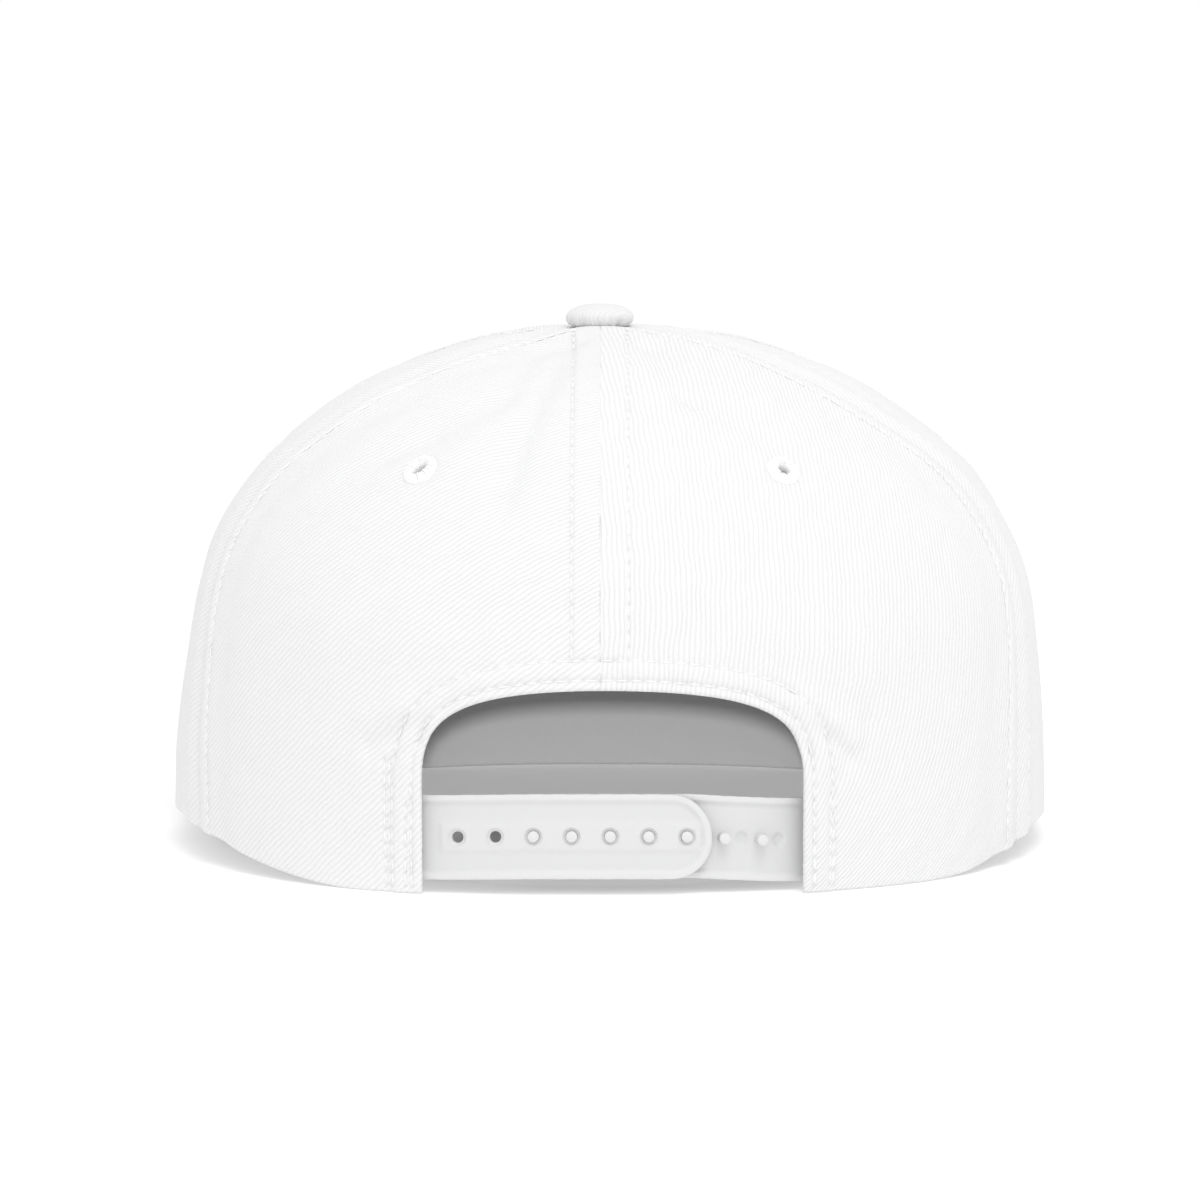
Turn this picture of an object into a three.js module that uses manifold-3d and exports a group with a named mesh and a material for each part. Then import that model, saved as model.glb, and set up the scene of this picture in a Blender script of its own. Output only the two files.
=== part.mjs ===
// A six-panel cap with a flat brim, a covered button, embroidered eyelets and a snap closure.
// Millimetres, +Z up. The brim points along -Y, the back opening faces +Y, the wearer's left is +X.
// A place on the crown is a turn, in degrees from the back seam towards the wearer's left,
// and a climb, from 0 at the rim to 1 under the button.

import * as THREE from "three";
import { mergeVertices } from "three/addons/utils/BufferGeometryUtils.js";
import Module from "manifold-3d";

const wasm = await Module();
wasm.setup();

// Crown
const CROWN_WIDTH = 190.5; // across the rim, from side to side
const SEAM_OFFSET = 2.25; // from the middle of the rim to the button, towards the wearer's left
const BACK_DEPTH = 91; // from under the button to the back of the rim
const FRONT_DEPTH = 94;
const CROWN_HEIGHT = 110.5;
const CLOTH = 1.5;
const GAP = 0.3; // between neighbouring pieces
const FRONT_SEAM_TURN = 120;
const CROWN_TOP_CLIMB = 0.98; // where the panels end under the button
const DENT_DEPTH = 1.3;

// Back opening
const ARCH_LEFT = 37.9; // from the middle of the rim to each of its straight sides
const ARCH_RIGHT = 38.5;
const ARCH_HEIGHT = 40.8;
const ARCH_TOP_X = 1.5; // its highest point
const ARCH_SPRING = 21.5; // height at which its straight sides start to curve
const ARCH_SIDE_FULLNESS = 0.55; // how far the curve follows each side of its corner, 0 to 1
const ARCH_TOP_FULLNESS = 0.97;

// Brim
const BRIM_THICKNESS = 3.4;
const BRIM_LENGTH = 70; // forward of the crown, on the centre line
const BRIM_WIDTH = 189;
const BRIM_TURN = 73; // from the front seam to each of its corners
const BRIM_FULLNESS = 2.4; // exponent of its front edge: 2 is an ellipse, more is squarer

// Button
const BUTTON_RADIUS = 7.35;
const BUTTON_HEIGHT = 4.7;
const BUTTON_EDGE = 1.6; // height of its widest part above its foot
const RIVET_RADIUS = 1.9;
const RIVET_FOOT_RADIUS = 4.5;
const RIVET_FOOT_THICKNESS = 1;

// Eyelets
const EYELET_RADIUS = 3.4;
const EYELET_HOLE_RADIUS = 1.05;
const EYELET_BARREL_RADIUS = 1.9;
const EYELET_FLANGE = 0.55;
const EYELET_LOOSENESS = 0.45; // between a flange and the curved cloth at its middle
const EYELET_CLIMB = 0.53;
const EYELET_PLACES = [
  { name: "back", turn: 32 },
  { name: "side", turn: 93 },
  { name: "front", turn: 150 },
];

// Sweatband
const BAND_HEIGHT = 32;
const BAND_THICKNESS = 1.3;
const BAND_START_TURN = 32; // where it ends beside the back opening
const BAND_RAISE = 0.8; // from the rim up to its lower edge
const BAND_DROP_TURN = 12; // past the brim's corner, where its lower edge has come down to the floor

// Snap closure
const STRAP_HEIGHT = 17.1;
const STRAP_RAISE = 2.8; // from the floor up to its lower edge
const STRAP_THICKNESS = 1.1;
const STRAP_LIP = 0.5; // how far its edges, rail and bosses stand out
const STRAP_LIP_WIDTH = 1.5;
const STRAP_SEWN_LENGTH = 8; // hidden behind the panel on either side
const STRAP_CORNER = 8.3;
const SNAP_PITCH = 7.75; // measured on the crown's outer face, as all of the closure's lengths are
const SNAP_FIRST_X = 31.2; // the first hole, near the wearer's left
const SNAP_COUNT = 7; // holes in the outer half and pegs on the inner half
const SNAP_FREE_HOLES = 2;
const HOLE_RADIUS = 1.5;
const PEG_RADIUS = 1.15;
const PEG_PROUD = 0.3; // how far a peg comes out of its boss
const BOSS_RADIUS = 2.1;
const DIMPLE_RADIUS = 1.2;
const DIMPLE_DEPTH = 0.4;
const RAIL_HEIGHT = 6.1;
const RAIL_OVERHANG = { sewn: 3.5, free: 2.9 }; // past the first and the last hole
const STRAP_TAIL = 5.2; // from the last hole or peg to the rounded end

// Horizontal sections of the crown. rise is a share of the crown's height, left, right, back and front
// are shares of its reach each way, square is the section's exponent and seam the side seam's turn.
const SECTIONS = [
  { rise: 0.0, left: 1.0, right: 1.0, back: 1.0, front: 1.0, square: 2.35, seam: 61 },
  { rise: 0.16, left: 0.994, right: 0.995, back: 0.985, front: 1.0, square: 2.35, seam: 62.5 },
  { rise: 0.32, left: 0.972, right: 0.982, back: 0.962, front: 0.995, square: 2.35, seam: 64.5 },
  { rise: 0.47, left: 0.942, right: 0.962, back: 0.925, front: 0.985, square: 2.35, seam: 66.5 },
  { rise: 0.6, left: 0.895, right: 0.915, back: 0.865, front: 0.96, square: 2.3, seam: 67.5 },
  { rise: 0.72, left: 0.805, right: 0.835, back: 0.765, front: 0.9, square: 2.25, seam: 66.5 },
  { rise: 0.82, left: 0.68, right: 0.705, back: 0.63, front: 0.8, square: 2.2, seam: 63 },
  { rise: 0.9, left: 0.535, right: 0.565, back: 0.48, front: 0.66, square: 2.1, seam: 60 },
  { rise: 0.96, left: 0.35, right: 0.39, back: 0.3, front: 0.46, square: 2.0, seam: 58 },
  { rise: 0.99, left: 0.175, right: 0.2, back: 0.15, front: 0.23, square: 2.0, seam: 58 },
  { rise: 1.0, left: 0.0, right: 0.0, back: 0.0, front: 0.0, square: 2.0, seam: 58 },
];

// How high the rim stands off the floor, as shares of the brim's thickness, which props it up.
const RIM = [
  { turn: 0, left: 0.09, right: 0.09 },
  { turn: 22, left: 0.06, right: 0.06 },
  { turn: 30, left: 0.0, right: 0.03 },
  { turn: 36, left: 0.15, right: 0.0 },
  { turn: 42, left: 0.53, right: 0.0 },
  { turn: 48, left: 1.0, right: 0.12 },
  { turn: 56, left: 1.7, right: 0.75 },
  { turn: 64, left: 2.05, right: 1.4 },
  { turn: 72, left: 2.12, right: 1.8 },
  { turn: 82, left: 1.88, right: 1.75 },
  { turn: 92, left: 1.42, right: 1.42 },
  { turn: 105, left: 1.09, right: 1.09 },
  { turn: 180, left: 1.09, right: 1.09 },
];

// Soft valleys in the cloth, each along a line between two places. width is a share of the way from
// the rim to the button, and depth a share of the dent depth, below 0 for a ridge.
const DENTS = [
  { fromTurn: 17, fromClimb: 0.84, toTurn: 17, toClimb: 0.56, width: 0.05, depth: 0.9 },
  { fromTurn: 41, fromClimb: 0.86, toTurn: 33, toClimb: 0.69, width: 0.05, depth: 1.0 },
  { fromTurn: 44, fromClimb: 0.52, toTurn: 36, toClimb: 0.61, width: 0.035, depth: 0.5 },
  { fromTurn: -26, fromClimb: 0.84, toTurn: -31, toClimb: 0.66, width: 0.055, depth: 0.8 },
  { fromTurn: -25, fromClimb: 0.29, toTurn: -36, toClimb: 0.26, width: 0.05, depth: -0.6 },
  { fromTurn: 26, fromClimb: 0.31, toTurn: 36, toClimb: 0.27, width: 0.05, depth: -0.4 },
  { fromTurn: 84, fromClimb: 0.8, toTurn: 80, toClimb: 0.5, width: 0.07, depth: 0.6 },
  { fromTurn: -88, fromClimb: 0.78, toTurn: -82, toClimb: 0.45, width: 0.07, depth: 0.6 },
];

// How finely each kind of piece is divided
const PANEL_COLUMNS = { back: 14, side: 10, front: 11 };
const PANEL_ROWS = 15;
const BRIM_COLUMNS = 30;
const BAND_COLUMNS = 44;
const BAND_ROWS = 3;
const STRAP_COLUMNS = 12;
const EYELET_SIDES = 12;
const SNAP_SIDES = 8;
const BUTTON_SIDES = 24;

const LEFT_REACH = CROWN_WIDTH / 2 - SEAM_OFFSET;
const RIGHT_REACH = CROWN_WIDTH / 2 + SEAM_OFFSET;
const STRAP_MIDDLE = STRAP_RAISE + STRAP_HEIGHT / 2;
const UP = new THREE.Vector3(0, 1, 0); // the axis that three.js turns a lathe and a cylinder about

// A smooth value between the rows of a table that never passes the rows on either side.
function smoothBetween(rows, column, places, at) {
  let i = 0;
  while (i < rows.length - 2 && at > places[i + 1]) i += 1;
  const slope = (k) =>
    (rows[k + 1][column] - rows[k][column]) / (places[k + 1] - places[k]);
  const tangent = (k) => {
    const before = slope(Math.max(k - 1, 0));
    const after = slope(Math.min(k, rows.length - 2));
    const mean = (before + after) / 2;
    const least = Math.min(2 * Math.abs(before), 2 * Math.abs(after), Math.abs(mean));
    return before * after <= 0 ? 0 : Math.sign(mean) * least;
  };
  const step = places[i + 1] - places[i];
  const s = THREE.MathUtils.clamp((at - places[i]) / step, 0, 1);
  const [a, b] = [rows[i][column], rows[i + 1][column]];
  const [m, n] = [tangent(i) * step, tangent(i + 1) * step];
  return a + s * (m + s * (3 * (b - a) - 2 * m - n + s * (m + n - 2 * (b - a))));
}

const CLIMBS = SECTIONS.map((_, i) => i / (SECTIONS.length - 1));
const RIM_TURNS = RIM.map((row) => row.turn);

function section(column, climb) {
  return smoothBetween(SECTIONS, column, CLIMBS, climb);
}

// Turns run on past 180, so each is brought back to between -180 and 180.
function wrapped(turn) {
  return THREE.MathUtils.euclideanModulo(turn + 180, 360) - 180;
}

function rimHeight(turn) {
  const side = wrapped(turn) > 0 ? "left" : "right";
  return BRIM_THICKNESS * smoothBetween(RIM, side, RIM_TURNS, Math.abs(wrapped(turn)));
}

// The climb at which the crown reaches a share of its height.
function climbAtRise(rise) {
  let [low, high] = [0, 1];
  for (let i = 0; i < 30; i += 1) {
    const middle = (low + high) / 2;
    if (section("rise", middle) < rise) low = middle;
    else high = middle;
  }
  return low;
}

function crownPoint(turn, climb) {
  const angle = THREE.MathUtils.degToRad(turn);
  const [across, along] = [Math.sin(angle), Math.cos(angle)];
  const half =
    across > 0
      ? LEFT_REACH * section("left", climb)
      : RIGHT_REACH * section("right", climb);
  const reach =
    along > 0
      ? BACK_DEPTH * section("back", climb)
      : FRONT_DEPTH * section("front", climb);
  const square = section("square", climb);
  const radius =
    (Math.abs(across / half) ** square + Math.abs(along / reach) ** square) **
    (-1 / square);
  const rise = section("rise", climb);
  return new THREE.Vector3(
    SEAM_OFFSET + radius * across,
    radius * along,
    rise * CROWN_HEIGHT + rimHeight(turn) * (1 - rise) ** 1.5,
  );
}

// The way out of the crown, level at the rim so that the hem's edge lies flat.
function crownNormal(turn, climb) {
  const [turnStep, climbStep] = [0.5, 0.004];
  const along = crownPoint(turn + turnStep, climb).sub(crownPoint(turn - turnStep, climb));
  const upper = Math.min(climb + climbStep, 1 - climbStep);
  const up = crownPoint(turn, upper).sub(crownPoint(turn, Math.max(climb - climbStep, 0)));
  const out = up.cross(along).normalize();
  out.z *= THREE.MathUtils.smoothstep(climb, 0, 0.12);
  return out.normalize();
}

// The crown laid flat round the button, with the rim at a distance of 1.
function flat(turn, climb) {
  const angle = THREE.MathUtils.degToRad(turn);
  return new THREE.Vector2(Math.sin(angle), Math.cos(angle)).multiplyScalar(1 - climb);
}

function dentAt(turn, climb) {
  const here = flat(turn, climb);
  return DENTS.reduce((sum, dent) => {
    const from = flat(dent.fromTurn, dent.fromClimb);
    const line = flat(dent.toTurn, dent.toClimb).sub(from);
    const along = here.clone().sub(from).dot(line) / line.lengthSq();
    const nearest = from.addScaledVector(line, THREE.MathUtils.clamp(along, 0, 1));
    const away = here.distanceTo(nearest) / dent.width;
    return sum + DENT_DEPTH * dent.depth * Math.exp(-away * away);
  }, 0);
}

// A place on the crown, moved in from its outer face.
function onCrown(turn, climb, inset) {
  return crownPoint(turn, climb).addScaledVector(crownNormal(turn, climb), -inset);
}

function onCloth(turn, climb, inset) {
  return onCrown(turn, climb, inset + dentAt(turn, climb));
}

// A place on the back of the crown, by how far across and how high it is.
function onBack(x, z, inset) {
  const climb = climbAtRise(z / CROWN_HEIGHT);
  const across = x - SEAM_OFFSET;
  const half =
    across > 0
      ? LEFT_REACH * section("left", climb)
      : RIGHT_REACH * section("right", climb);
  const square = section("square", climb);
  const reach = BACK_DEPTH * section("back", climb);
  const y = reach * (1 - Math.abs(across / half) ** square) ** (1 / square);
  return onCrown(THREE.MathUtils.radToDeg(Math.atan2(across, y)), climb, inset);
}

// Joining and cutting
function toSolid(geometry) {
  const bare = geometry.index ? geometry.toNonIndexed() : geometry.clone();
  bare.deleteAttribute("normal");
  bare.deleteAttribute("uv");
  const merged = mergeVertices(bare, 1e-4);
  return new wasm.Manifold(
    new wasm.Mesh({
      numProp: 3,
      vertProperties: merged.getAttribute("position").array,
      triVerts: new Uint32Array(merged.index.array),
    }),
  );
}

function toGeometry(solid) {
  const { vertProperties, triVerts } = solid.getMesh();
  const geometry = new THREE.BufferGeometry();
  geometry.setAttribute("position", new THREE.BufferAttribute(vertProperties, 3));
  geometry.setIndex(new THREE.BufferAttribute(triVerts, 1));
  geometry.computeVertexNormals();
  return geometry;
}

// A slab bent to shape: place gives the point at u along, v up and w in, each from 0 to 1.
function bentSlab(columns, rows, place) {
  const box = new THREE.BoxGeometry(1, 1, 1, columns, rows, 1);
  box.deleteAttribute("normal");
  box.deleteAttribute("uv");
  const slab = mergeVertices(box);
  const points = slab.getAttribute("position");
  for (let i = 0; i < points.count; i += 1) {
    const [u, v, w] = [points.getX(i), points.getY(i), points.getZ(i)];
    const at = place(u + 0.5, v + 0.5, w + 0.5);
    points.setXYZ(i, at.x, at.y, at.z);
  }
  slab.computeVertexNormals();
  return slab;
}

// A flat outline, x across and y up, pushed right through the back of the crown.
function throughBack(outline) {
  const prism = new THREE.ExtrudeGeometry(outline, {
    depth: BACK_DEPTH,
    bevelEnabled: false,
    curveSegments: 6,
  });
  prism.rotateX(Math.PI / 2);
  prism.translate(0, 1.2 * BACK_DEPTH, 0);
  return toSolid(prism);
}

function rod(centre, direction, radius, length, sides) {
  const cylinder = new THREE.CylinderGeometry(radius, radius, length, sides);
  const turned = new THREE.Quaternion().setFromUnitVectors(UP, direction);
  cylinder.applyQuaternion(turned);
  cylinder.translate(centre.x, centre.y, centre.z);
  return toSolid(cylinder);
}

// Materials
function finish(color, roughness) {
  return new THREE.MeshStandardMaterial({ color, roughness, metalness: 0 });
}

const cloth = finish(0xf4f4f4, 0.9);
const thread = finish(0xf8f8f8, 0.8);
const bandCloth = finish(0xdcdcdc, 0.9);
const plastic = finish(0xebebeb, 0.4);

const cap = new THREE.Group();

function add(name, geometry, material) {
  const mesh = new THREE.Mesh(geometry, material);
  mesh.name = name;
  cap.add(mesh);
  return mesh;
}

// Panels. Seam 0 is the back one, 1 the side one, 2 the front side one and 3 the front one.
function seamTurn(seam, climb) {
  const turns = [0, section("seam", climb), FRONT_SEAM_TURN, 180];
  return Math.sign(seam) * turns[Math.abs(seam)];
}

function archOutline() {
  const [left, right, top] = [ARCH_LEFT, -ARCH_RIGHT, ARCH_HEIGHT];
  const reach = THREE.MathUtils.lerp(ARCH_SPRING, top, ARCH_SIDE_FULLNESS);
  const leftShoulder = THREE.MathUtils.lerp(ARCH_TOP_X, left, ARCH_TOP_FULLNESS);
  const rightShoulder = THREE.MathUtils.lerp(ARCH_TOP_X, right, ARCH_TOP_FULLNESS);
  const outline = new THREE.Shape();
  outline.moveTo(right, -CROWN_HEIGHT / 10);
  outline.lineTo(left, -CROWN_HEIGHT / 10);
  outline.lineTo(left, ARCH_SPRING);
  outline.bezierCurveTo(left, reach, leftShoulder, top, ARCH_TOP_X, top);
  outline.bezierCurveTo(rightShoulder, top, right, reach, right, ARCH_SPRING);
  return outline;
}

// The middle of the cloth under an eyelet, and the way out of the cloth as it lies round it.
function eyeletSeat(turn) {
  const [turnStep, climbStep] = [2, 0.02];
  const across = onCloth(turn + turnStep, EYELET_CLIMB, 0);
  const up = onCloth(turn, EYELET_CLIMB + climbStep, 0);
  across.sub(onCloth(turn - turnStep, EYELET_CLIMB, 0));
  up.sub(onCloth(turn, EYELET_CLIMB - climbStep, 0));
  const out = up.cross(across).normalize();
  return { centre: onCloth(turn, EYELET_CLIMB, 0).addScaledVector(out, -CLOTH / 2), out };
}

function panel(fromSeam, toSeam, columns, eyeletTurn) {
  const geometry = bentSlab(columns, PANEL_ROWS, (u, v, w) => {
    const climb = v * CROWN_TOP_CLIMB;
    const edge = (seam) => {
      const turn = seamTurn(seam, climb);
      const foot = crownPoint(turn, climb);
      const radius = Math.hypot(foot.x - SEAM_OFFSET, foot.y);
      return { turn, inset: THREE.MathUtils.radToDeg(GAP / 2 / radius) };
    };
    const [start, end] = [edge(fromSeam), edge(toSeam)];
    const turn = THREE.MathUtils.lerp(start.turn + start.inset, end.turn - end.inset, u);
    return onCloth(turn, climb, w * CLOTH);
  });
  const { centre, out } = eyeletSeat(eyeletTurn);
  const hole = rod(centre, out, EYELET_BARREL_RADIUS + GAP, 4 * CLOTH, EYELET_SIDES);
  return toSolid(geometry).subtract(hole);
}

const arch = throughBack(archOutline());
for (const [place, seam] of [["back", 0], ["side", 1], ["front", 2]]) {
  const { turn } = EYELET_PLACES.find(({ name }) => name === place);
  const columns = PANEL_COLUMNS[place];
  const sides = [
    { side: "left", solid: panel(seam, seam + 1, columns, turn) },
    { side: "right", solid: panel(-seam - 1, -seam, columns, -turn) },
  ];
  for (const { side, solid } of sides) {
    const cut = place === "back" ? solid.subtract(arch) : solid;
    add(`panel_${place}_${side}`, toGeometry(cut), cloth);
  }
}

// Eyelets: a spool of thread through its hole, with a flange on each face of the cloth.
function eyeletGeometry() {
  const seat = CLOTH / 2 + EYELET_LOOSENESS;
  const profile = [
    [EYELET_HOLE_RADIUS, -seat - EYELET_FLANGE / 2],
    [EYELET_BARREL_RADIUS, -seat - EYELET_FLANGE],
    [EYELET_RADIUS, -seat],
    [EYELET_BARREL_RADIUS, -seat],
    [EYELET_BARREL_RADIUS, seat],
    [EYELET_RADIUS, seat],
    [EYELET_BARREL_RADIUS, seat + EYELET_FLANGE],
    [EYELET_HOLE_RADIUS, seat + EYELET_FLANGE / 2],
    [EYELET_HOLE_RADIUS, -seat - EYELET_FLANGE / 2],
  ];
  const points = profile.map(([radius, height]) => new THREE.Vector2(radius, height));
  return new THREE.LatheGeometry(points, EYELET_SIDES);
}

for (const { name, turn } of EYELET_PLACES) {
  for (const [side, sign] of [["left", 1], ["right", -1]]) {
    const eyelet = add(`eyelet_${name}_${side}`, eyeletGeometry(), thread);
    const { centre, out } = eyeletSeat(sign * turn);
    eyelet.position.copy(centre);
    eyelet.quaternion.setFromUnitVectors(UP, out);
  }
}

// Button: a covered dome on a rivet, whose foot lies under the panels.
function buttonGeometry() {
  const foot = -CLOTH - 3 * GAP;
  const dome = [0, 1, 2, 3, 4, 5].map((k) => {
    const angle = (k / 5) * (Math.PI / 2);
    const height = BUTTON_EDGE + (BUTTON_HEIGHT - BUTTON_EDGE) * Math.sin(angle);
    return [BUTTON_RADIUS * Math.cos(angle) ** 0.8, height];
  });
  const profile = [
    [0, foot - RIVET_FOOT_THICKNESS],
    [RIVET_FOOT_RADIUS, foot - RIVET_FOOT_THICKNESS],
    [RIVET_FOOT_RADIUS, foot],
    [RIVET_RADIUS, foot],
    [RIVET_RADIUS, GAP],
    [BUTTON_RADIUS - BUTTON_EDGE, GAP],
    ...dome.slice(0, -1),
    [0, BUTTON_HEIGHT],
  ];
  const points = profile.map(([radius, height]) => new THREE.Vector2(radius, height));
  return new THREE.LatheGeometry(points, BUTTON_SIDES);
}

const button = add("top_button", buttonGeometry(), cloth);
button.position.set(SEAM_OFFSET, 0, CROWN_HEIGHT);
button.rotation.x = Math.PI / 2;

// Brim: flat halves between the foot of the front panels and the brim's front edge.
function brimHalf(low, high) {
  return bentSlab(BRIM_COLUMNS, 1, (u, v, w) => {
    const across = 2 * u - 1;
    const foot = onCrown(180 - across * BRIM_TURN, 0, CLOTH);
    const corner = onCrown(180 - BRIM_TURN, 0, CLOTH);
    const angle = (across * Math.PI) / 2;
    const power = 2 / BRIM_FULLNESS;
    const x = (BRIM_WIDTH / 2) * Math.sign(across) * Math.abs(Math.sin(angle)) ** power;
    const reach = FRONT_DEPTH + BRIM_LENGTH + corner.y;
    const y = corner.y - reach * Math.abs(Math.cos(angle)) ** power;
    const edge = new THREE.Vector3(x, y, 0);
    return foot.setZ(0).lerp(edge, v).setZ(THREE.MathUtils.lerp(high, low, w));
  });
}

add("visor_upper", brimHalf((BRIM_THICKNESS + GAP) / 2, BRIM_THICKNESS), cloth);
add("visor_under", brimHalf(0, (BRIM_THICKNESS - GAP) / 2), cloth);

// Sweatband: inside the panels, from one side of the back opening round to the other. Its lower edge
// follows the rim, but behind the brim it reaches down to the brim's underside.
function bandDrop(turn, v) {
  const corner = 180 - BRIM_TURN;
  const behindBrim = THREE.MathUtils.smoothstep(
    Math.abs(wrapped(turn)), corner, corner + BAND_DROP_TURN);
  return behindBrim * rimHeight(turn) * (1 - v) ** 3;
}

const bandGeometry = bentSlab(BAND_COLUMNS, BAND_ROWS, (u, v, w) => {
  const turn = THREE.MathUtils.lerp(BAND_START_TURN, 360 - BAND_START_TURN, u);
  const climb = climbAtRise((v * BAND_HEIGHT) / CROWN_HEIGHT);
  const at = onCrown(turn, climb, CLOTH + GAP + w * BAND_THICKNESS);
  at.z += BAND_RAISE - bandDrop(turn, v);
  return at;
});
add("sweatband", bandGeometry, bandCloth);

// Snap closure. A layer is the strap's curved sheet between two insets from the crown's outer face.
function strapLayer(fromX, toX, low, high, inset, thickness) {
  return toSolid(
    bentSlab(STRAP_COLUMNS, 1, (u, v, w) => {
      const x = THREE.MathUtils.lerp(fromX, toX, u);
      const z = THREE.MathUtils.lerp(low, high, v);
      return onBack(x, z, inset + w * thickness);
    }),
  );
}

// A strap's outline from its sewn end at x to its rounded end, drawn in by a margin. A cubic curve is
// very nearly a quarter of a circle when its two middle points lie this share of the radius along.
function strapOutline(sewnX, endX, margin) {
  const quarter = 0.5523;
  const way = Math.sign(endX - sewnX);
  const [low, high] = [STRAP_RAISE + margin, STRAP_RAISE + STRAP_HEIGHT - margin];
  const end = endX - way * margin;
  const corner = STRAP_CORNER - margin;
  const start = end - way * corner;
  const bend = start + way * corner * quarter;
  const rise = corner * (1 - quarter);
  const outline = new THREE.Shape();
  outline.moveTo(sewnX, low);
  outline.lineTo(start, low);
  outline.bezierCurveTo(bend, low, end, low + rise, end, low + corner);
  outline.lineTo(end, high - corner);
  outline.bezierCurveTo(end, high - rise, bend, high, start, high);
  outline.lineTo(sewnX, high);
  return outline;
}

function strapRod(x, radius, fromInset, toInset) {
  const from = onBack(x, STRAP_MIDDLE, fromInset);
  const to = onBack(x, STRAP_MIDDLE, toInset);
  const along = to.clone().sub(from);
  const out = along.clone().normalize();
  return rod(from.lerp(to, 0.5), out, radius, along.length(), SNAP_SIDES);
}

// The plate with a lip round its edge, from its sewn end to its rounded end.
function strapBlank(sewnX, endX, inset) {
  const [fromX, toX] = [Math.min(sewnX, endX), Math.max(sewnX, endX)];
  const [low, high] = [STRAP_RAISE / 2, STRAP_RAISE * 2 + STRAP_HEIGHT];
  const plate = strapLayer(fromX, toX, low, high, inset + STRAP_LIP, STRAP_THICKNESS);
  const lip = strapLayer(fromX, toX, low, high, inset, STRAP_LIP + STRAP_THICKNESS / 2);
  const outer = throughBack(strapOutline(sewnX, endX, 0));
  const inner = throughBack(strapOutline(sewnX, endX, STRAP_LIP_WIDTH));
  return plate.intersect(outer).add(lip.intersect(outer.subtract(inner)));
}

function snapX(index) {
  return SNAP_FIRST_X - index * SNAP_PITCH;
}

const OUTER_INSET = CLOTH + GAP;
const OUTER_BACK = OUTER_INSET + STRAP_LIP + STRAP_THICKNESS;
const INNER_INSET = OUTER_BACK + GAP;

function outerHalf() {
  const last = snapX(SNAP_COUNT - 1);
  const face = OUTER_INSET + STRAP_LIP;
  const railEnds = [last - RAIL_OVERHANG.free, snapX(0) + RAIL_OVERHANG.sewn];
  const railLow = STRAP_MIDDLE - RAIL_HEIGHT / 2;
  const railInset = face - STRAP_LIP / 2;
  const sewnX = ARCH_LEFT + STRAP_SEWN_LENGTH;
  let half = strapBlank(sewnX, last - STRAP_TAIL, OUTER_INSET).add(
    strapLayer(...railEnds, railLow, railLow + RAIL_HEIGHT, railInset, STRAP_THICKNESS),
  );
  for (let i = 0; i < SNAP_COUNT; i += 1) {
    half = half.add(strapRod(snapX(i), BOSS_RADIUS, OUTER_INSET, face + STRAP_THICKNESS / 2));
  }
  for (let i = 0; i < SNAP_COUNT; i += 1) {
    half = half.subtract(strapRod(snapX(i), HOLE_RADIUS, 0, OUTER_BACK + CLOTH));
  }
  return half;
}

function innerHalf() {
  const face = INNER_INSET + STRAP_LIP;
  const first = SNAP_FREE_HOLES;
  const sewnX = -ARCH_RIGHT - STRAP_SEWN_LENGTH;
  let half = strapBlank(sewnX, snapX(first) + STRAP_TAIL, INNER_INSET);
  for (let i = first; i < first + SNAP_COUNT; i += 1) {
    const tip = OUTER_INSET - PEG_PROUD;
    half = half
      .add(strapRod(snapX(i), PEG_RADIUS, tip, face + STRAP_THICKNESS / 2))
      .subtract(strapRod(snapX(i + 0.5), DIMPLE_RADIUS, 0, face + DIMPLE_DEPTH));
  }
  return half;
}

add("strap_holes", toGeometry(outerHalf()), plastic);
add("strap_pegs", toGeometry(innerHalf()), plastic);

// The origin is under the middle of the whole cap, on the floor.
const extent = new THREE.Box3().setFromObject(cap, true);
const middle = extent.getCenter(new THREE.Vector3());
cap.position.set(-middle.x, -middle.y, -extent.min.z);

export default cap;
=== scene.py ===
# %% [markdown]
# A white six-panel cap lies on a table, seen from behind: crown, button, eyelets, flat brim, sweatband
# and a plastic snap closure. The plain solids come in first as a fixed frame. Every piece below is then
# made again with its folds, seams and threads, and stands exactly where its solid stands.

# %% The fixed frame
import math

import bmesh
import bpy
import numpy as np
from mathutils import Matrix, Vector, kdtree, noise


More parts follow.
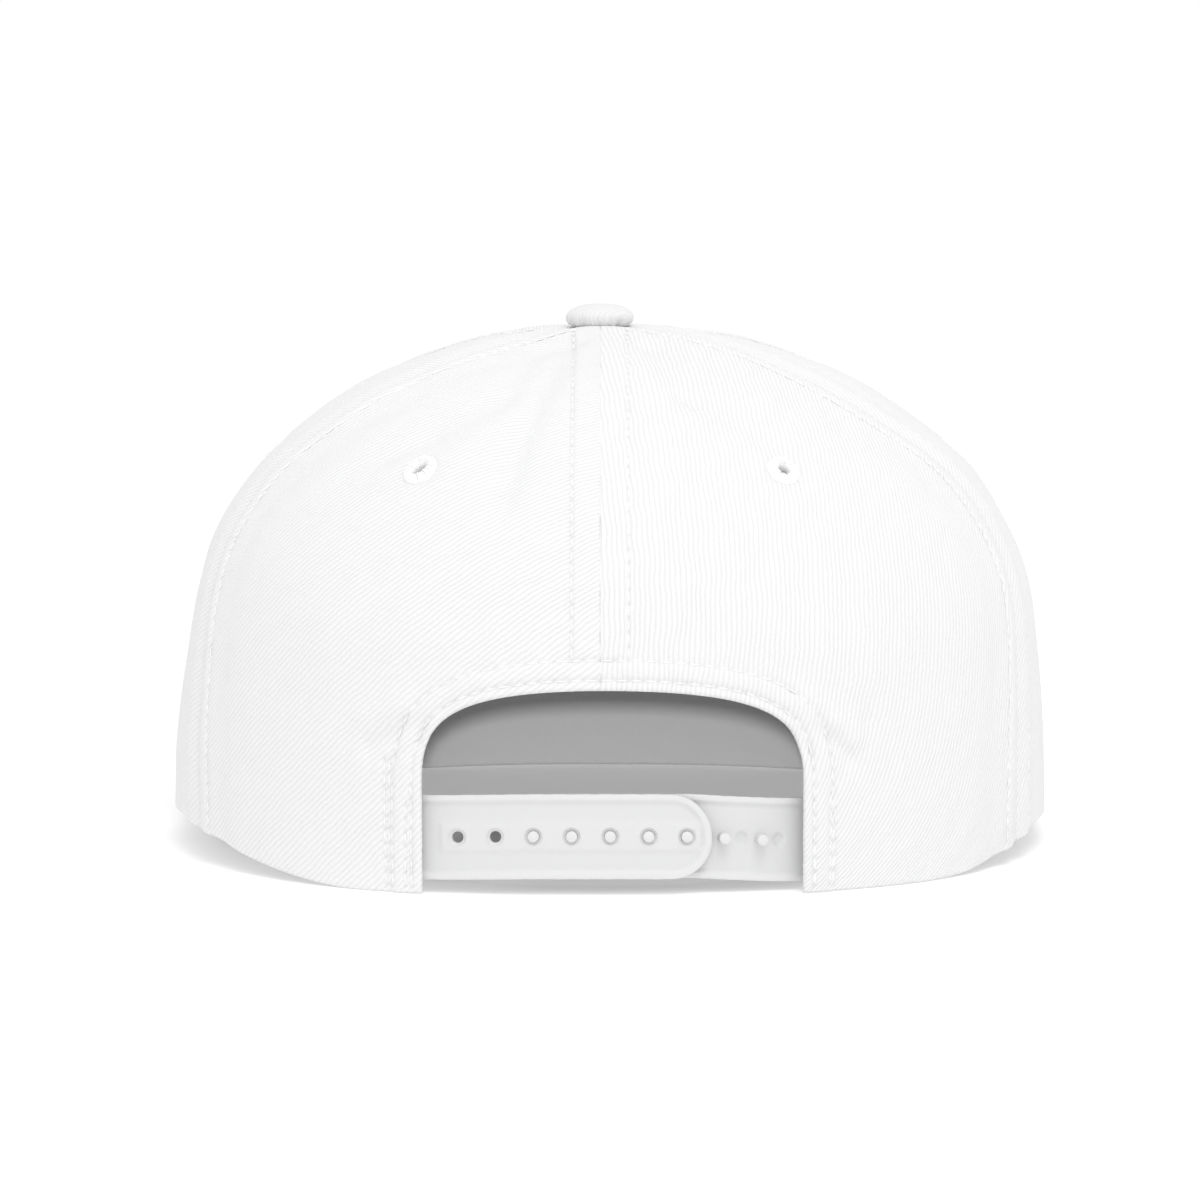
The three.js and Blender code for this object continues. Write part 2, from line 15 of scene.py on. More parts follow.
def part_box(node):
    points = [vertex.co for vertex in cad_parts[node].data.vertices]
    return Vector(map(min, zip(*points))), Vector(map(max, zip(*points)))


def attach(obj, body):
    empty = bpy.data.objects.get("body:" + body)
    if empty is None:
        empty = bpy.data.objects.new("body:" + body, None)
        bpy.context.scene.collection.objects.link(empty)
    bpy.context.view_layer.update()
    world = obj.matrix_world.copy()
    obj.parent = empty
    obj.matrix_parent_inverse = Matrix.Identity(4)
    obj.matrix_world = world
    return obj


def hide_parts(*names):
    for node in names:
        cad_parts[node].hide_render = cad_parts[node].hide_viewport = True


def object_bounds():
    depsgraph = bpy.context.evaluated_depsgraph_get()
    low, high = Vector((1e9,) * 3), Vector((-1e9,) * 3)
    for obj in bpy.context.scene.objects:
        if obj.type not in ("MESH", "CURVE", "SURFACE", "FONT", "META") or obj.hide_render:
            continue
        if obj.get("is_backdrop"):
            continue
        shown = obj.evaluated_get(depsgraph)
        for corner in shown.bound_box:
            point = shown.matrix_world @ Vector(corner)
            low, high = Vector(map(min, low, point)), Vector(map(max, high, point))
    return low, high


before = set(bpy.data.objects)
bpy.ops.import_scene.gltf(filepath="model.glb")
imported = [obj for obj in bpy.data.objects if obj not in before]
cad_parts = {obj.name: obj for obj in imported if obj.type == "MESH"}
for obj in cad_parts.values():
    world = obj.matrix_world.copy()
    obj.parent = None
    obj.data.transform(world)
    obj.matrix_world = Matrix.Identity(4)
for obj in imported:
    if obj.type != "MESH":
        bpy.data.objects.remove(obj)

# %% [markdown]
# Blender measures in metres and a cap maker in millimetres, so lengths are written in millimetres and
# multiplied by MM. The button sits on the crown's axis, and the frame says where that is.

MM = 0.001
cad_box = [list(corner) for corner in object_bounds()]
button_low, button_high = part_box("top_button")
AXIS = np.array([(button_low.x + button_high.x) / 2, (button_low.y + button_high.y) / 2, 0])
print("solids:", len(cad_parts), "crown axis at", AXIS.round(4))

# %% [markdown]
# The photographer stood behind the cap, about 86 cm from the crown and a little above it, with a long
# lens. The camera comes first, so that each new piece can be looked at through it.

# %% Camera
EYE_BEHIND = 864 * MM
EYE_HEIGHT = 141 * MM
AIM_HEIGHT = 50 * MM
LENS = 118.26


def show(name, data):
    """A new object in the scene, with that camera, mesh or lamp."""
    made = bpy.data.objects.new(name, data)
    bpy.context.scene.collection.objects.link(made)
    return made


camera = show("camera", bpy.data.cameras.new("camera"))
camera.data.lens = LENS
camera.data.sensor_width = 36
eye = Vector((AXIS[0], AXIS[1] + EYE_BEHIND, EYE_HEIGHT))
aim = Vector((AXIS[0], AXIS[1], AIM_HEIGHT))
camera.location = eye
camera.rotation_euler = (aim - eye).to_track_quat("-Z", "Y").to_euler()
bpy.context.scene.camera = camera
print("camera looks down", round(math.degrees(math.atan2(eye.z - aim.z, EYE_BEHIND)), 1), "degrees")

# %% [markdown]
# The crown is one smooth surface. A place on it is a turn, in degrees from the back seam towards the
# wearer's left, and a climb, from 0 at the rim to 1 under the button. Eleven level sections give its
# shape: each is a rounded square, and a smooth curve joins a column of the table from row to row.

# %% The crown's sizes and sections
CROWN_WIDTH = 190.5 * MM
SEAM_OFFSET = AXIS[0]
BACK_DEPTH = 91 * MM
FRONT_DEPTH = 94 * MM
CROWN_HEIGHT = 110.5 * MM
CLOTH = 1.5 * MM
GAP = 0.3 * MM
BRIM_THICKNESS = 3.4 * MM
DENT_DEPTH = 2.0 * MM
FRONT_SEAM_TURN = 120
LEFT_REACH = CROWN_WIDTH / 2 - SEAM_OFFSET
RIGHT_REACH = CROWN_WIDTH / 2 + SEAM_OFFSET
SIGN = {"left": 1, "right": -1}  # of the turns on the wearer's left and right
FIRST_SEAM = {"back": 0, "side": 1, "front": 2}  # the seam at which each panel starts
PANELS = [(place, side) for place in FIRST_SEAM for side in SIGN]

SECTION_COLUMNS = ("rise", "left", "right", "back", "front", "square", "seam")
SECTIONS = np.array([
    (0.00, 1.000, 1.000, 1.000, 1.000, 2.35, 61.0),
    (0.16, 0.994, 0.995, 0.985, 1.000, 2.35, 62.5),
    (0.32, 0.972, 0.982, 0.962, 0.995, 2.35, 64.5),
    (0.47, 0.942, 0.962, 0.925, 0.985, 2.35, 66.5),
    (0.60, 0.895, 0.915, 0.865, 0.960, 2.30, 67.5),
    (0.72, 0.805, 0.835, 0.765, 0.900, 2.25, 66.5),
    (0.82, 0.680, 0.705, 0.630, 0.800, 2.20, 63.0),
    (0.90, 0.535, 0.565, 0.480, 0.660, 2.10, 60.0),
    (0.96, 0.350, 0.390, 0.300, 0.460, 2.00, 58.0),
    (0.99, 0.175, 0.200, 0.150, 0.230, 2.00, 58.0),
    (1.00, 0.000, 0.000, 0.000, 0.000, 2.00, 58.0),
])
# turn, left and right: how high the rim stands, as shares of the brim's thickness
RIM = np.array([
    (0, 0.09, 0.09), (22, 0.06, 0.06), (30, 0.0, 0.03), (36, 0.15, 0.0), (42, 0.53, 0.0),
    (48, 1.0, 0.12), (56, 1.7, 0.75), (64, 2.05, 1.4), (72, 2.12, 1.8), (82, 1.88, 1.75),
    (92, 1.42, 1.42), (105, 1.09, 1.09), (180, 1.09, 1.09),
])


def smooth_between(values, places, at):
    """A smooth value between table rows that never passes the rows on either side."""
    slope = np.diff(values) / np.diff(places)
    before, after = np.r_[slope[0], slope], np.r_[slope, slope[-1]]
    mean = (before + after) / 2
    least = np.minimum.reduce([2 * abs(before), 2 * abs(after), abs(mean)])
    tangent = np.where(before * after <= 0, 0, np.sign(mean) * least)
    i = np.clip(np.searchsorted(places, at, side="left") - 1, 0, len(places) - 2)
    step = places[i + 1] - places[i]
    s = np.clip((at - places[i]) / step, 0, 1)
    a, b = values[i], values[i + 1]
    m, n = tangent[i] * step, tangent[i + 1] * step
    return a + s * (m + s * (3 * (b - a) - 2 * m - n + s * (m + n - 2 * (b - a))))


def section(column, climb):
    """One column of the crown's table at a climb."""
    values = SECTIONS[:, SECTION_COLUMNS.index(column)]
    return smooth_between(values, np.linspace(0, 1, len(SECTIONS)), climb)


def rim_height(turn):
    turn = (turn + 180) % 360 - 180
    left = smooth_between(RIM[:, 1], RIM[:, 0], abs(turn))
    right = smooth_between(RIM[:, 2], RIM[:, 0], abs(turn))
    return BRIM_THICKNESS * np.where(turn > 0, left, right)


print("sections:", len(SECTIONS), "rim rows:", len(RIM))

# %% [markdown]
# These functions turn a turn and a climb into a point, and find the way out of the cloth. Working on
# whole arrays at once keeps a mesh of a hundred thousand points quick.

# %% Points on the crown
def smoothstep(value, low, high):
    s = np.clip((value - low) / (high - low), 0, 1)
    return s * s * (3 - 2 * s)


def unit(vectors):
    return vectors / np.maximum(np.linalg.norm(vectors, axis=-1, keepdims=True), 1e-12)


def hump(distance, width):
    """1 at no distance, softly down to 0 beyond a width."""
    return np.exp(-(distance / width) ** 2)


def half_width(across, climb):
    """How wide the crown is at a climb, on the side on which across lies."""
    return np.where(
        across > 0, LEFT_REACH * section("left", climb), RIGHT_REACH * section("right", climb))


def crown_point(turn, climb):
    """Points of the smooth crown, before any dent."""
    turn, climb = np.broadcast_arrays(np.asarray(turn, float), np.asarray(climb, float))
    across, along = np.sin(np.radians(turn)), np.cos(np.radians(turn))
    half = half_width(across, climb)
    reach = np.where(
        along > 0, BACK_DEPTH * section("back", climb), FRONT_DEPTH * section("front", climb))
    square = section("square", climb)
    half, reach = np.maximum(half, 1e-7), np.maximum(reach, 1e-7)
    radius = ((abs(across) / half) ** square + (abs(along) / reach) ** square) ** (-1 / square)
    rise = section("rise", climb)
    height = rise * CROWN_HEIGHT + rim_height(turn) * (1 - rise) ** 1.5
    return AXIS + np.stack([radius * across, radius * along, height], -1)


def crown_out(turn, climb):
    """The way out of the crown, level at the rim so that the hem's edge lies flat."""
    turn, climb = np.broadcast_arrays(np.asarray(turn, float), np.asarray(climb, float))
    along = crown_point(turn + 0.5, climb) - crown_point(turn - 0.5, climb)
    upper = np.minimum(climb + 0.004, 0.996)
    up = crown_point(turn, upper) - crown_point(turn, np.maximum(climb - 0.004, 0))
    out = unit(np.cross(up, along))
    out[..., 2] *= smoothstep(climb, 0, 0.12)
    return unit(out)


CLIMB_STEPS = np.linspace(0, 1, 4001)
RISE_STEPS = section("rise", CLIMB_STEPS)


def climb_at_rise(rise):
    return np.interp(rise, RISE_STEPS, CLIMB_STEPS)


def back_place(x, z):
    """The turn and climb on the back of the crown of a point so far across and so high."""
    climb = climb_at_rise(np.asarray(z, float) / CROWN_HEIGHT)
    across = np.asarray(x, float) - SEAM_OFFSET
    square = section("square", climb)
    share = np.clip(abs(across / half_width(across, climb)), 0, 1) ** square
    y = BACK_DEPTH * section("back", climb) * (1 - share) ** (1 / square)
    return np.degrees(np.arctan2(across, y)), climb


def seam_turn(seam, climb):
    """Seam 0 is the back one, 1 the side one, 2 the front side one and 3 the front one."""
    turns = (0 * climb, section("seam", climb), FRONT_SEAM_TURN + 0 * climb, 180 + 0 * climb)
    return np.sign(seam) * turns[abs(seam)]


print("crown top", crown_point(0, 0.999).round(4), "side", crown_point(90, 0).round(4))

# %% [markdown]
# Cloth never lies as smoothly as its pattern. Each row of this table is a soft valley along a line
# between two places, and a negative depth is a ridge. The first rows are the large dents of the crown,
# the last ones the short creases where the cloth pulls at the corners of the back opening.

# %% Dents and creases
# from turn, from climb, to turn, to climb, width, depth
DENTS = np.array([
    (17, 0.84, 17, 0.56, 0.05, 0.45), (16.5, 0.86, 15.8, 0.49, 0.022, 0.55),
    (20.5, 0.80, 19.0, 0.585, 0.025, -0.25), (41, 0.86, 33, 0.69, 0.05, 0.45),
    (30, 0.83, 24, 0.68, 0.026, 0.45), (24, 0.68, 33, 0.59, 0.03, 0.35), (44, 0.52, 36, 0.61, 0.035, 0.3),
    (40.5, 0.544, 33.5, 0.587, 0.014, 0.3), (-26, 0.84, -31, 0.66, 0.055, 0.35),
    (-27, 0.83, -22.5, 0.68, 0.024, 0.5), (-22.5, 0.68, -33.5, 0.572, 0.024, 0.5),
    (-52, 0.84, -45, 0.73, 0.04, -0.3), (57, 0.66, 66, 0.5, 0.03, -0.3),
    (-25, 0.29, -36, 0.26, 0.05, -0.4), (26, 0.31, 36, 0.27, 0.05, -0.3),
    (84, 0.8, 80, 0.5, 0.07, 0.4), (-88, 0.78, -82, 0.45, 0.07, 0.4),
    (30.2, 0.163, 23.4, 0.188, 0.016, 0.45), (26.5, 0.152, 23.2, 0.168, 0.009, 0.3),
    (31.0, 0.190, 25.5, 0.215, 0.02, -0.25), (-28.5, 0.184, -32.0, 0.152, 0.012, 0.4),
    (-26.0, 0.218, -33.5, 0.169, 0.02, -0.3), (-33.5, 0.146, -35.2, 0.191, 0.016, 0.25),
    (-24.2, 0.176, -26.8, 0.158, 0.01, 0.25),
])


def flat_place(turn, climb):
    """The crown laid flat round the button, with the rim at a distance of 1."""
    angle = np.radians(turn)
    return np.stack([(1 - climb) * np.sin(angle), (1 - climb) * np.cos(angle)], -1)


def dent_at(turn, climb):
    here = flat_place(turn, climb)
    total = np.zeros(here.shape[:-1])
    for from_turn, from_climb, to_turn, to_climb, width, depth in DENTS:
        start = flat_place(from_turn, from_climb)
        line = flat_place(to_turn, to_climb) - start
        along = np.clip((here - start) @ line / (line @ line), 0, 1)
        away = np.linalg.norm(here - start - along[..., None] * line, axis=-1)
        total += DENT_DEPTH * depth * hump(away, width)
    return total


def waviness(points, length, seed):
    """Soft random height from -1 to 1 that changes over a given length."""
    return np.array([noise.noise(Vector(p) / length + Vector((seed, 0, 0))) for p in points])


print("dents and creases:", len(DENTS))

# %% [markdown]
# The back opening is cut as an arch: straight sides that bend over at the top. Two Bezier curves draw
# it on a flat sheet behind the cap, and back_place lays each of its points on the crown.

# %% The arch of the back opening
ARCH_LEFT = 37.9 * MM
ARCH_RIGHT = 38.5 * MM
ARCH_HEIGHT = 40.8 * MM
ARCH_TOP_X = 1.5 * MM  # its highest point
ARCH_SPRING = 21.5 * MM  # height at which its straight sides start to curve
ARCH_SIDE_FULLNESS = 0.55
ARCH_TOP_FULLNESS = 0.97


def bezier(points, steps):
    t = np.linspace(0, 1, steps)[:, None]
    a, b, c, d = (np.array(point) for point in points)
    return (1 - t) ** 3 * a + 3 * (1 - t) ** 2 * t * b + 3 * (1 - t) * t * t * c + t ** 3 * d


def arch_half(foot_x):
    """Half of the arch, from its foot to its highest point, as x and z."""
    reach = ARCH_SPRING + ARCH_SIDE_FULLNESS * (ARCH_HEIGHT - ARCH_SPRING)
    shoulder = ARCH_TOP_X + ARCH_TOP_FULLNESS * (foot_x - ARCH_TOP_X)
    side = np.stack([np.full(120, foot_x), np.linspace(0, ARCH_SPRING, 120)], -1)
    corners = [(foot_x, ARCH_SPRING), (foot_x, reach), (shoulder, ARCH_HEIGHT), (ARCH_TOP_X, ARCH_HEIGHT)]
    return np.concatenate([side, bezier(corners, 300)[1:]])


ARCH = np.concatenate([arch_half(ARCH_LEFT), arch_half(-ARCH_RIGHT)[-2::-1]])
ARCH_TURN, ARCH_CLIMB = back_place(ARCH[:, 0], ARCH[:, 1])
ARCH_POINTS = crown_point(ARCH_TURN, ARCH_CLIMB)
print("arch cut:", round(np.linalg.norm(np.diff(ARCH_POINTS, axis=0), axis=1).sum() / MM), "mm round")

# %% [markdown]
# A sewing line is a route on the cloth. Cutting a route into equal steps gives the needle holes, and
# each stitch lies between two of them. The same routes later make the valleys in the cloth and the
# threads, so that both always agree.

# %% Sewing lines
STITCH_PITCH = 2.9 * MM
TOPSTITCH_OFFSET = 5.7 * MM
TOPSTITCH_TOP_CLIMB = 0.93
ARCH_ROW_OFFSETS = (2.0 * MM, 5.9 * MM)
ROW_FOOT = 1.2 * MM  # how high above the rim the rows round the arch end
PANEL_TOP_CLIMB = 0.985


def lengths_along(points):
    return np.r_[0, np.cumsum(np.linalg.norm(np.diff(points, axis=0), axis=1))]


def needle_holes(turn, climb):
    """The places of the needle holes along a route."""
    run = lengths_along(crown_point(turn, climb))
    stops = np.linspace(0, run[-1], max(2, round(run[-1] / STITCH_PITCH) + 1))
    return np.interp(stops, run, turn), np.interp(stops, run, climb)


def seam_line(seam, low=0.0, high=PANEL_TOP_CLIMB, steps=900):
    climb = np.linspace(low, high, steps)
    return seam_turn(seam, climb), climb


def from_axis(turn, climb):
    """How far places on the crown are from its axis."""
    return np.linalg.norm((crown_point(turn, climb) - AXIS)[:, :2], axis=1)


def beside_seam(seam, way, low):
    """A route beside a seam, towards larger turns if way is 1."""
    turn, climb = seam_line(seam, low, TOPSTITCH_TOP_CLIMB, 400)
    return turn + way * np.degrees(TOPSTITCH_OFFSET / from_axis(turn, climb)), climb


def beside_arch(offset, left):
    """A route round half of the arch, outside it."""
    way = np.gradient(ARCH, axis=0)
    normal = unit(np.stack([way[:, 1], -way[:, 0]], -1))
    line = ARCH + offset * normal
    line = line[(line[:, 1] > ROW_FOOT) & ((line[:, 0] > SEAM_OFFSET) == left)]
    return back_place(line[:, 0], line[:, 1])


apex_climb = float(np.interp(SEAM_OFFSET, ARCH[::-1, 0], ARCH_CLIMB[::-1]))
print("the back seam starts", round(apex_climb, 3), "of the way up")

# %% [markdown]
# The ends of the snap closure are held by upright tacks beside the opening: two rows run side by side,
# and one row lies nearer to the edge. Each end of a tack is a turn and a climb.

# %% Tacks beside the opening
SEAM_ROW_FOOT = 0.01  # the climb at which a row beside a seam starts
ARCH_SEAM_ROW_FOOT = 0.035  # and how far above the arch it starts at the back seam
TACKS = {
    "left": [((27.2, 0.150), (26.4, 0.008)), ((27.9, 0.150), (27.0, 0.008)), ((24.6, 0.10), (24.4, 0.008))],
    "right": [((-29.9, 0.112), (-29.3, 0.008)), ((-29.2, 0.112), (-28.7, 0.008)),
              ((-27.0, 0.105), (-26.8, 0.008))],
}


def straight_route(start, end):
    share = np.linspace(0, 1, 60)
    return start[0] + (end[0] - start[0]) * share, start[1] + (end[1] - start[1]) * share


def panel_routes(place, side):
    """Every sewing line of one panel."""
    sign, first = SIGN[side], FIRST_SEAM[place]
    foot = apex_climb + ARCH_SEAM_ROW_FOOT if place == "back" else SEAM_ROW_FOOT
    routes = [beside_seam(sign * first, sign, foot), beside_seam(sign * (first + 1), -sign, SEAM_ROW_FOOT)]
    if place == "back":
        routes += [beside_arch(offset, side == "left") for offset in ARCH_ROW_OFFSETS]
        routes += [straight_route(*ends) for ends in TACKS[side]]
    return routes


ROUTES = {panel: panel_routes(*panel) for panel in PANELS}
print("sewing lines:", sum(len(routes) for routes in ROUTES.values()))

# %% [markdown]
# The height of the cloth above the smooth crown has a cause everywhere. Beside a seam the turned-under
# edges pad it. At a row of stitches the thread pulls it down. At the seam it rolls in, and the folded
# hem of the arch is padded too. A k-d tree finds how far each point is from each of these lines.

# %% The height of the cloth
WELT = 0.55 * MM
SEAM_WELT_EDGE = (6.5 * MM, 5.2 * MM)  # where the padding has ended and where it starts to fall
HEM_WELT_EDGE = (7.0 * MM, 5.6 * MM)
HEM_PUFF, HEM_PUFF_PLACE, HEM_PUFF_WIDTH = 0.16 * MM, 3.9 * MM, 1.3 * MM
STITCH_VALLEY, STITCH_VALLEY_WIDTH = 0.34 * MM, 0.62 * MM
PUCKER, PUCKER_WIDTH, PUCKER_LENGTH = 0.13 * MM, 3.2 * MM, 3.4 * MM
SLACKS = ((0.22 * MM, 17 * MM, 3), (0.09 * MM, 6.5 * MM, 11))  # height, length and seed of the waves
NEEDLE_DIP, NEEDLE_WIDTH = 0.1 * MM, 0.42 * MM
SEAM_ROLLS = (0.3 * MM, 0.62 * MM, 0.5 * MM, 0.4 * MM)  # back, side, front side and front seam
SEAM_SINK = 0.9 * MM  # how far the side seams are drawn in, and half as far once more beyond the welt
SINK_WIDTH, SINK_FAR_PLACE, SINK_FAR_WIDTH = 2.6 * MM, 11 * MM, 4 * MM
HEM_ROLL = 0.72 * MM


def distance_to(points, line):
    tree = kdtree.KDTree(len(line))
    for i, point in enumerate(line):
        tree.insert(point, i)
    tree.balance()
    return np.array([tree.find(point)[2] for point in points])


def roll(distance, radius):
    """How far a rounded edge of that radius has fallen away at a distance from it."""
    inside = np.clip(radius - distance, 0, radius)
    return radius - np.sqrt(radius ** 2 - inside ** 2)


def cloth_height(place, side, turn, climb):
    """The cloth's height over the crown, how far its edges roll in and how near a needle hole is."""
    points = crown_point(turn, climb)
    first = FIRST_SEAM[place]
    to_seams = {
        seam: distance_to(points, crown_point(*seam_line(SIGN[side] * seam))) for seam in (first, first + 1)}
    to_rim = section("rise", climb) * CROWN_HEIGHT
    to_arch = distance_to(points, ARCH_POINTS) if place == "back" else np.full(len(points), 1.0)
    rows = np.concatenate([crown_point(*route) for route in ROUTES[place, side]])
    holes = np.concatenate([crown_point(*needle_holes(*route)) for route in ROUTES[place, side]])
    to_row, needle = distance_to(points, rows), hump(distance_to(points, holes), NEEDLE_WIDTH)
    padding = WELT * np.maximum(
        smoothstep(np.minimum(*to_seams.values()), *SEAM_WELT_EDGE), smoothstep(to_arch, *HEM_WELT_EDGE))
    puff = HEM_PUFF * hump(to_arch - HEM_PUFF_PLACE, HEM_PUFF_WIDTH)
    valley = STITCH_VALLEY * hump(to_row, STITCH_VALLEY_WIDTH)
    pucker = PUCKER * hump(to_row, PUCKER_WIDTH) * waviness(points, PUCKER_LENGTH, 7)
    slack = sum(size * waviness(points, length, seed) for size, length, seed in SLACKS)
    height = padding + puff - valley + pucker + slack - NEEDLE_DIP * needle - dent_at(turn, climb)
    edge = roll(np.minimum(to_rim, to_arch), HEM_ROLL)
    for seam, away in to_seams.items():
        edge = np.maximum(edge, roll(away, SEAM_ROLLS[seam]))
        if seam in (1, 2):
            near, far = hump(away, SINK_WIDTH), hump(away - SINK_FAR_PLACE, SINK_FAR_WIDTH)
            height -= SEAM_SINK * (near + 0.5 * far)
    return height, edge, needle


sample = cloth_height("back", "left", np.array([31.0, 5.0]), np.array([0.4, 0.4]))
print("height of the cloth at two places:", (sample[0] / MM).round(2), "mm")

# %% [markdown]
# Most pieces of a cap are sheets. A sheet starts as a flat grid, its faces are extruded so that it has
# two walls and closed edges, and each point is then moved to its place. The grid's own coordinates say
# which point is which, so no list of faces is ever written by hand.

# %% A sheet from a grid
def sheet(columns, rows, place, cut=None):
    """A closed sheet. place(u, v, wall) gives its points, with wall 0 outside and 1 inside."""
    bm = bmesh.new()
    bmesh.ops.create_grid(bm, x_segments=columns, y_segments=rows, size=0.5)
    if cut is not None:
        middles = np.array([face.calc_center_median() for face in bm.faces]) + 0.5
        inside = cut(middles[:, 0], middles[:, 1])
        holes = [face for face, gone in zip(bm.faces[:], inside) if gone]
        bmesh.ops.delete(bm, geom=holes, context="FACES")
    grown = bmesh.ops.extrude_face_region(bm, geom=bm.faces[:], use_keep_orig=True)
    inner = [item for item in grown["geom"] if isinstance(item, bmesh.types.BMVert)]
    bmesh.ops.translate(bm, verts=inner, vec=(0, 0, 1))
    grid = np.array([vertex.co for vertex in bm.verts])
    lay(bm, place(grid[:, 0] + 0.5, grid[:, 1] + 0.5, grid[:, 2]))
    bmesh.ops.recalc_face_normals(bm, faces=bm.faces[:])
    return bm


def lay(bm, points):
    """Moves every vertex to its own point."""
    for vertex, point in zip(bm.verts, points):
        vertex.co = point


def crowded(share, amount):
    """Steps from 0 to 1 that are finer near both ends."""
    return share - amount * np.sin(2 * math.pi * share) / (2 * math.pi)


def piece(name, bm, material, nodes=(), uv=None, attributes=None, sharp=50):
    """Turns a bmesh into a finished object that rides on the frame."""
    mesh = bpy.data.meshes.new(name)
    bm.normal_update()
    volume = bm.calc_volume(signed=True)
    if volume < 0:
        bmesh.ops.reverse_faces(bm, faces=bm.faces[:])
    bm.to_mesh(mesh)
    bm.free()
    mesh.polygons.foreach_set("use_smooth", np.ones(len(mesh.polygons), bool))
    mesh.set_sharp_from_angle(angle=math.radians(sharp))
    if uv is not None:
        corner = np.zeros(len(mesh.loops), int)
        mesh.loops.foreach_get("vertex_index", corner)
        layer = mesh.uv_layers.new(name="cloth")
        layer.data.foreach_set("uv", uv[corner].astype(np.float32).ravel())
    for label, values in (attributes or {}).items():
        layer = mesh.attributes.new(label, "FLOAT", "POINT")
        layer.data.foreach_set("value", values.astype(np.float32))
    made = show(name, mesh)
    mesh.materials.append(material)
    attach(made, "root")
    if nodes:
        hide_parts(*nodes)
    triangles = sum(len(face.vertices) - 2 for face in mesh.polygons)
    print(f"{name}: {triangles} triangles, {abs(volume) * 1e6:.2f} cubic centimetres")
    return made


print("helpers ready")

# %% [markdown]
# Materials are built from nodes. Writing the maths as Python keeps them readable: a Wire holds one
# output, and adding or multiplying wires adds Math nodes. Every other node comes from Finish.node.

# %% Shader wires
def operator(operation, swapped=False):
    """A Python operator that adds a Math node."""
    def run(self, other):
        return self.math(operation, *((other, self) if swapped else (self, other)))
    return run


class Wire:
    """One output of a shader node, which takes part in sums."""

    def __init__(self, finish, socket):
        self.finish = finish
        self.socket = socket

    def math(self, operation, *values):
        return self.finish.node("ShaderNodeMath", {"operation": operation}, values)

    def function(self, operation):
        return self.math(operation, self)

    __add__, __radd__ = operator("ADD"), operator("ADD", True)
    __sub__, __rsub__ = operator("SUBTRACT"), operator("SUBTRACT", True)
    __mul__, __rmul__ = operator("MULTIPLY"), operator("MULTIPLY", True)
    __truediv__, __pow__ = operator("DIVIDE"), operator("POWER")


class Finish:
    """A material that is built node by node."""

    def __init__(self, name):
        self.material = bpy.data.materials.new(name)
        self.material.use_nodes = True
        self.tree = self.material.node_tree
        self.tree.nodes.clear()

    def node(self, kind, settings=None, sockets=(), output=0):
        """Adds a node: its settings first, then the values or wires of its sockets."""
        made = self.tree.nodes.new(kind)
        for name, value in (settings or {}).items():
            setattr(made, name, value)
        pairs = sockets.items() if isinstance(sockets, dict) else enumerate(sockets)
        for key, value in pairs:
            if isinstance(value, Wire):
                self.tree.links.new(value.socket, made.inputs[key])
            else:
                made.inputs[key].default_value = value
        return None if output is None else Wire(self, made.outputs[output])

    def noise(self, vector, size, detail=2.0, roughness=0.5):
        """Noise from 0 to 1 whose lumps are about that size, in metres."""
        sockets = {"Vector": vector, "Scale": 1 / size, "Detail": detail, "Roughness": roughness}
        return self.node("ShaderNodeTexNoise", {}, sockets)

    def attribute(self, name):
        """A number that every point of the piece holds."""
        return self.node("ShaderNodeAttribute", {"attribute_name": name}, output=2)

    def object_place(self):
        return self.node("ShaderNodeTexCoord", output=3)

    def split(self, vector):
        parts = self.node("ShaderNodeSeparateXYZ", {}, [vector])
        return [Wire(self, output) for output in parts.socket.node.outputs]

    def colour(self, share, dark, light):
        """A colour between two others, which are three numbers or one grey."""
        ends = [(*(np.ones(3) * end).tolist(), 1) for end in (dark, light)]
        return self.node("ShaderNodeMix", {"data_type": "RGBA"}, {0: share, 6: ends[0], 7: ends[1]}, output=2)

    def bump(self, height, depth):
        return self.node("ShaderNodeBump", {}, {"Height": height, "Distance": depth, "Strength": 1.0})

    def surface(self, **sockets):
        """Ends the material with a Principled BSDF, with _ for each space in its sockets' names."""
        named = {name.replace("_", " "): value for name, value in sockets.items()}
        self.node("ShaderNodeOutputMaterial", {}, [self.node("ShaderNodeBsdfPrincipled", {}, named)], None)
        return self.material


print("shader helpers ready")

# %% [markdown]
# Twill has diagonal ribs, because each weft thread passes over two warp threads and steps on by one. The ribs
# run along the cut cloth and not along the table, so they follow the piece's own UV map, which is drawn in
# metres. The yarn on each rib is broken into floats, and the fuzz is fine noise. The colour is darker between
# the ribs and at needle holes, as painted shade.

# %% Cotton twill
TWILL_PITCH = 1.02 * MM
FLOAT_LENGTH = 1.7 * MM
FLOAT_STEP = 0.38  # how far the floats move on from one rib to the next
TWILL_SHADOW = np.array([0.89, 0.892, 0.895])  # the painted shade between two ribs, as shares of the tint
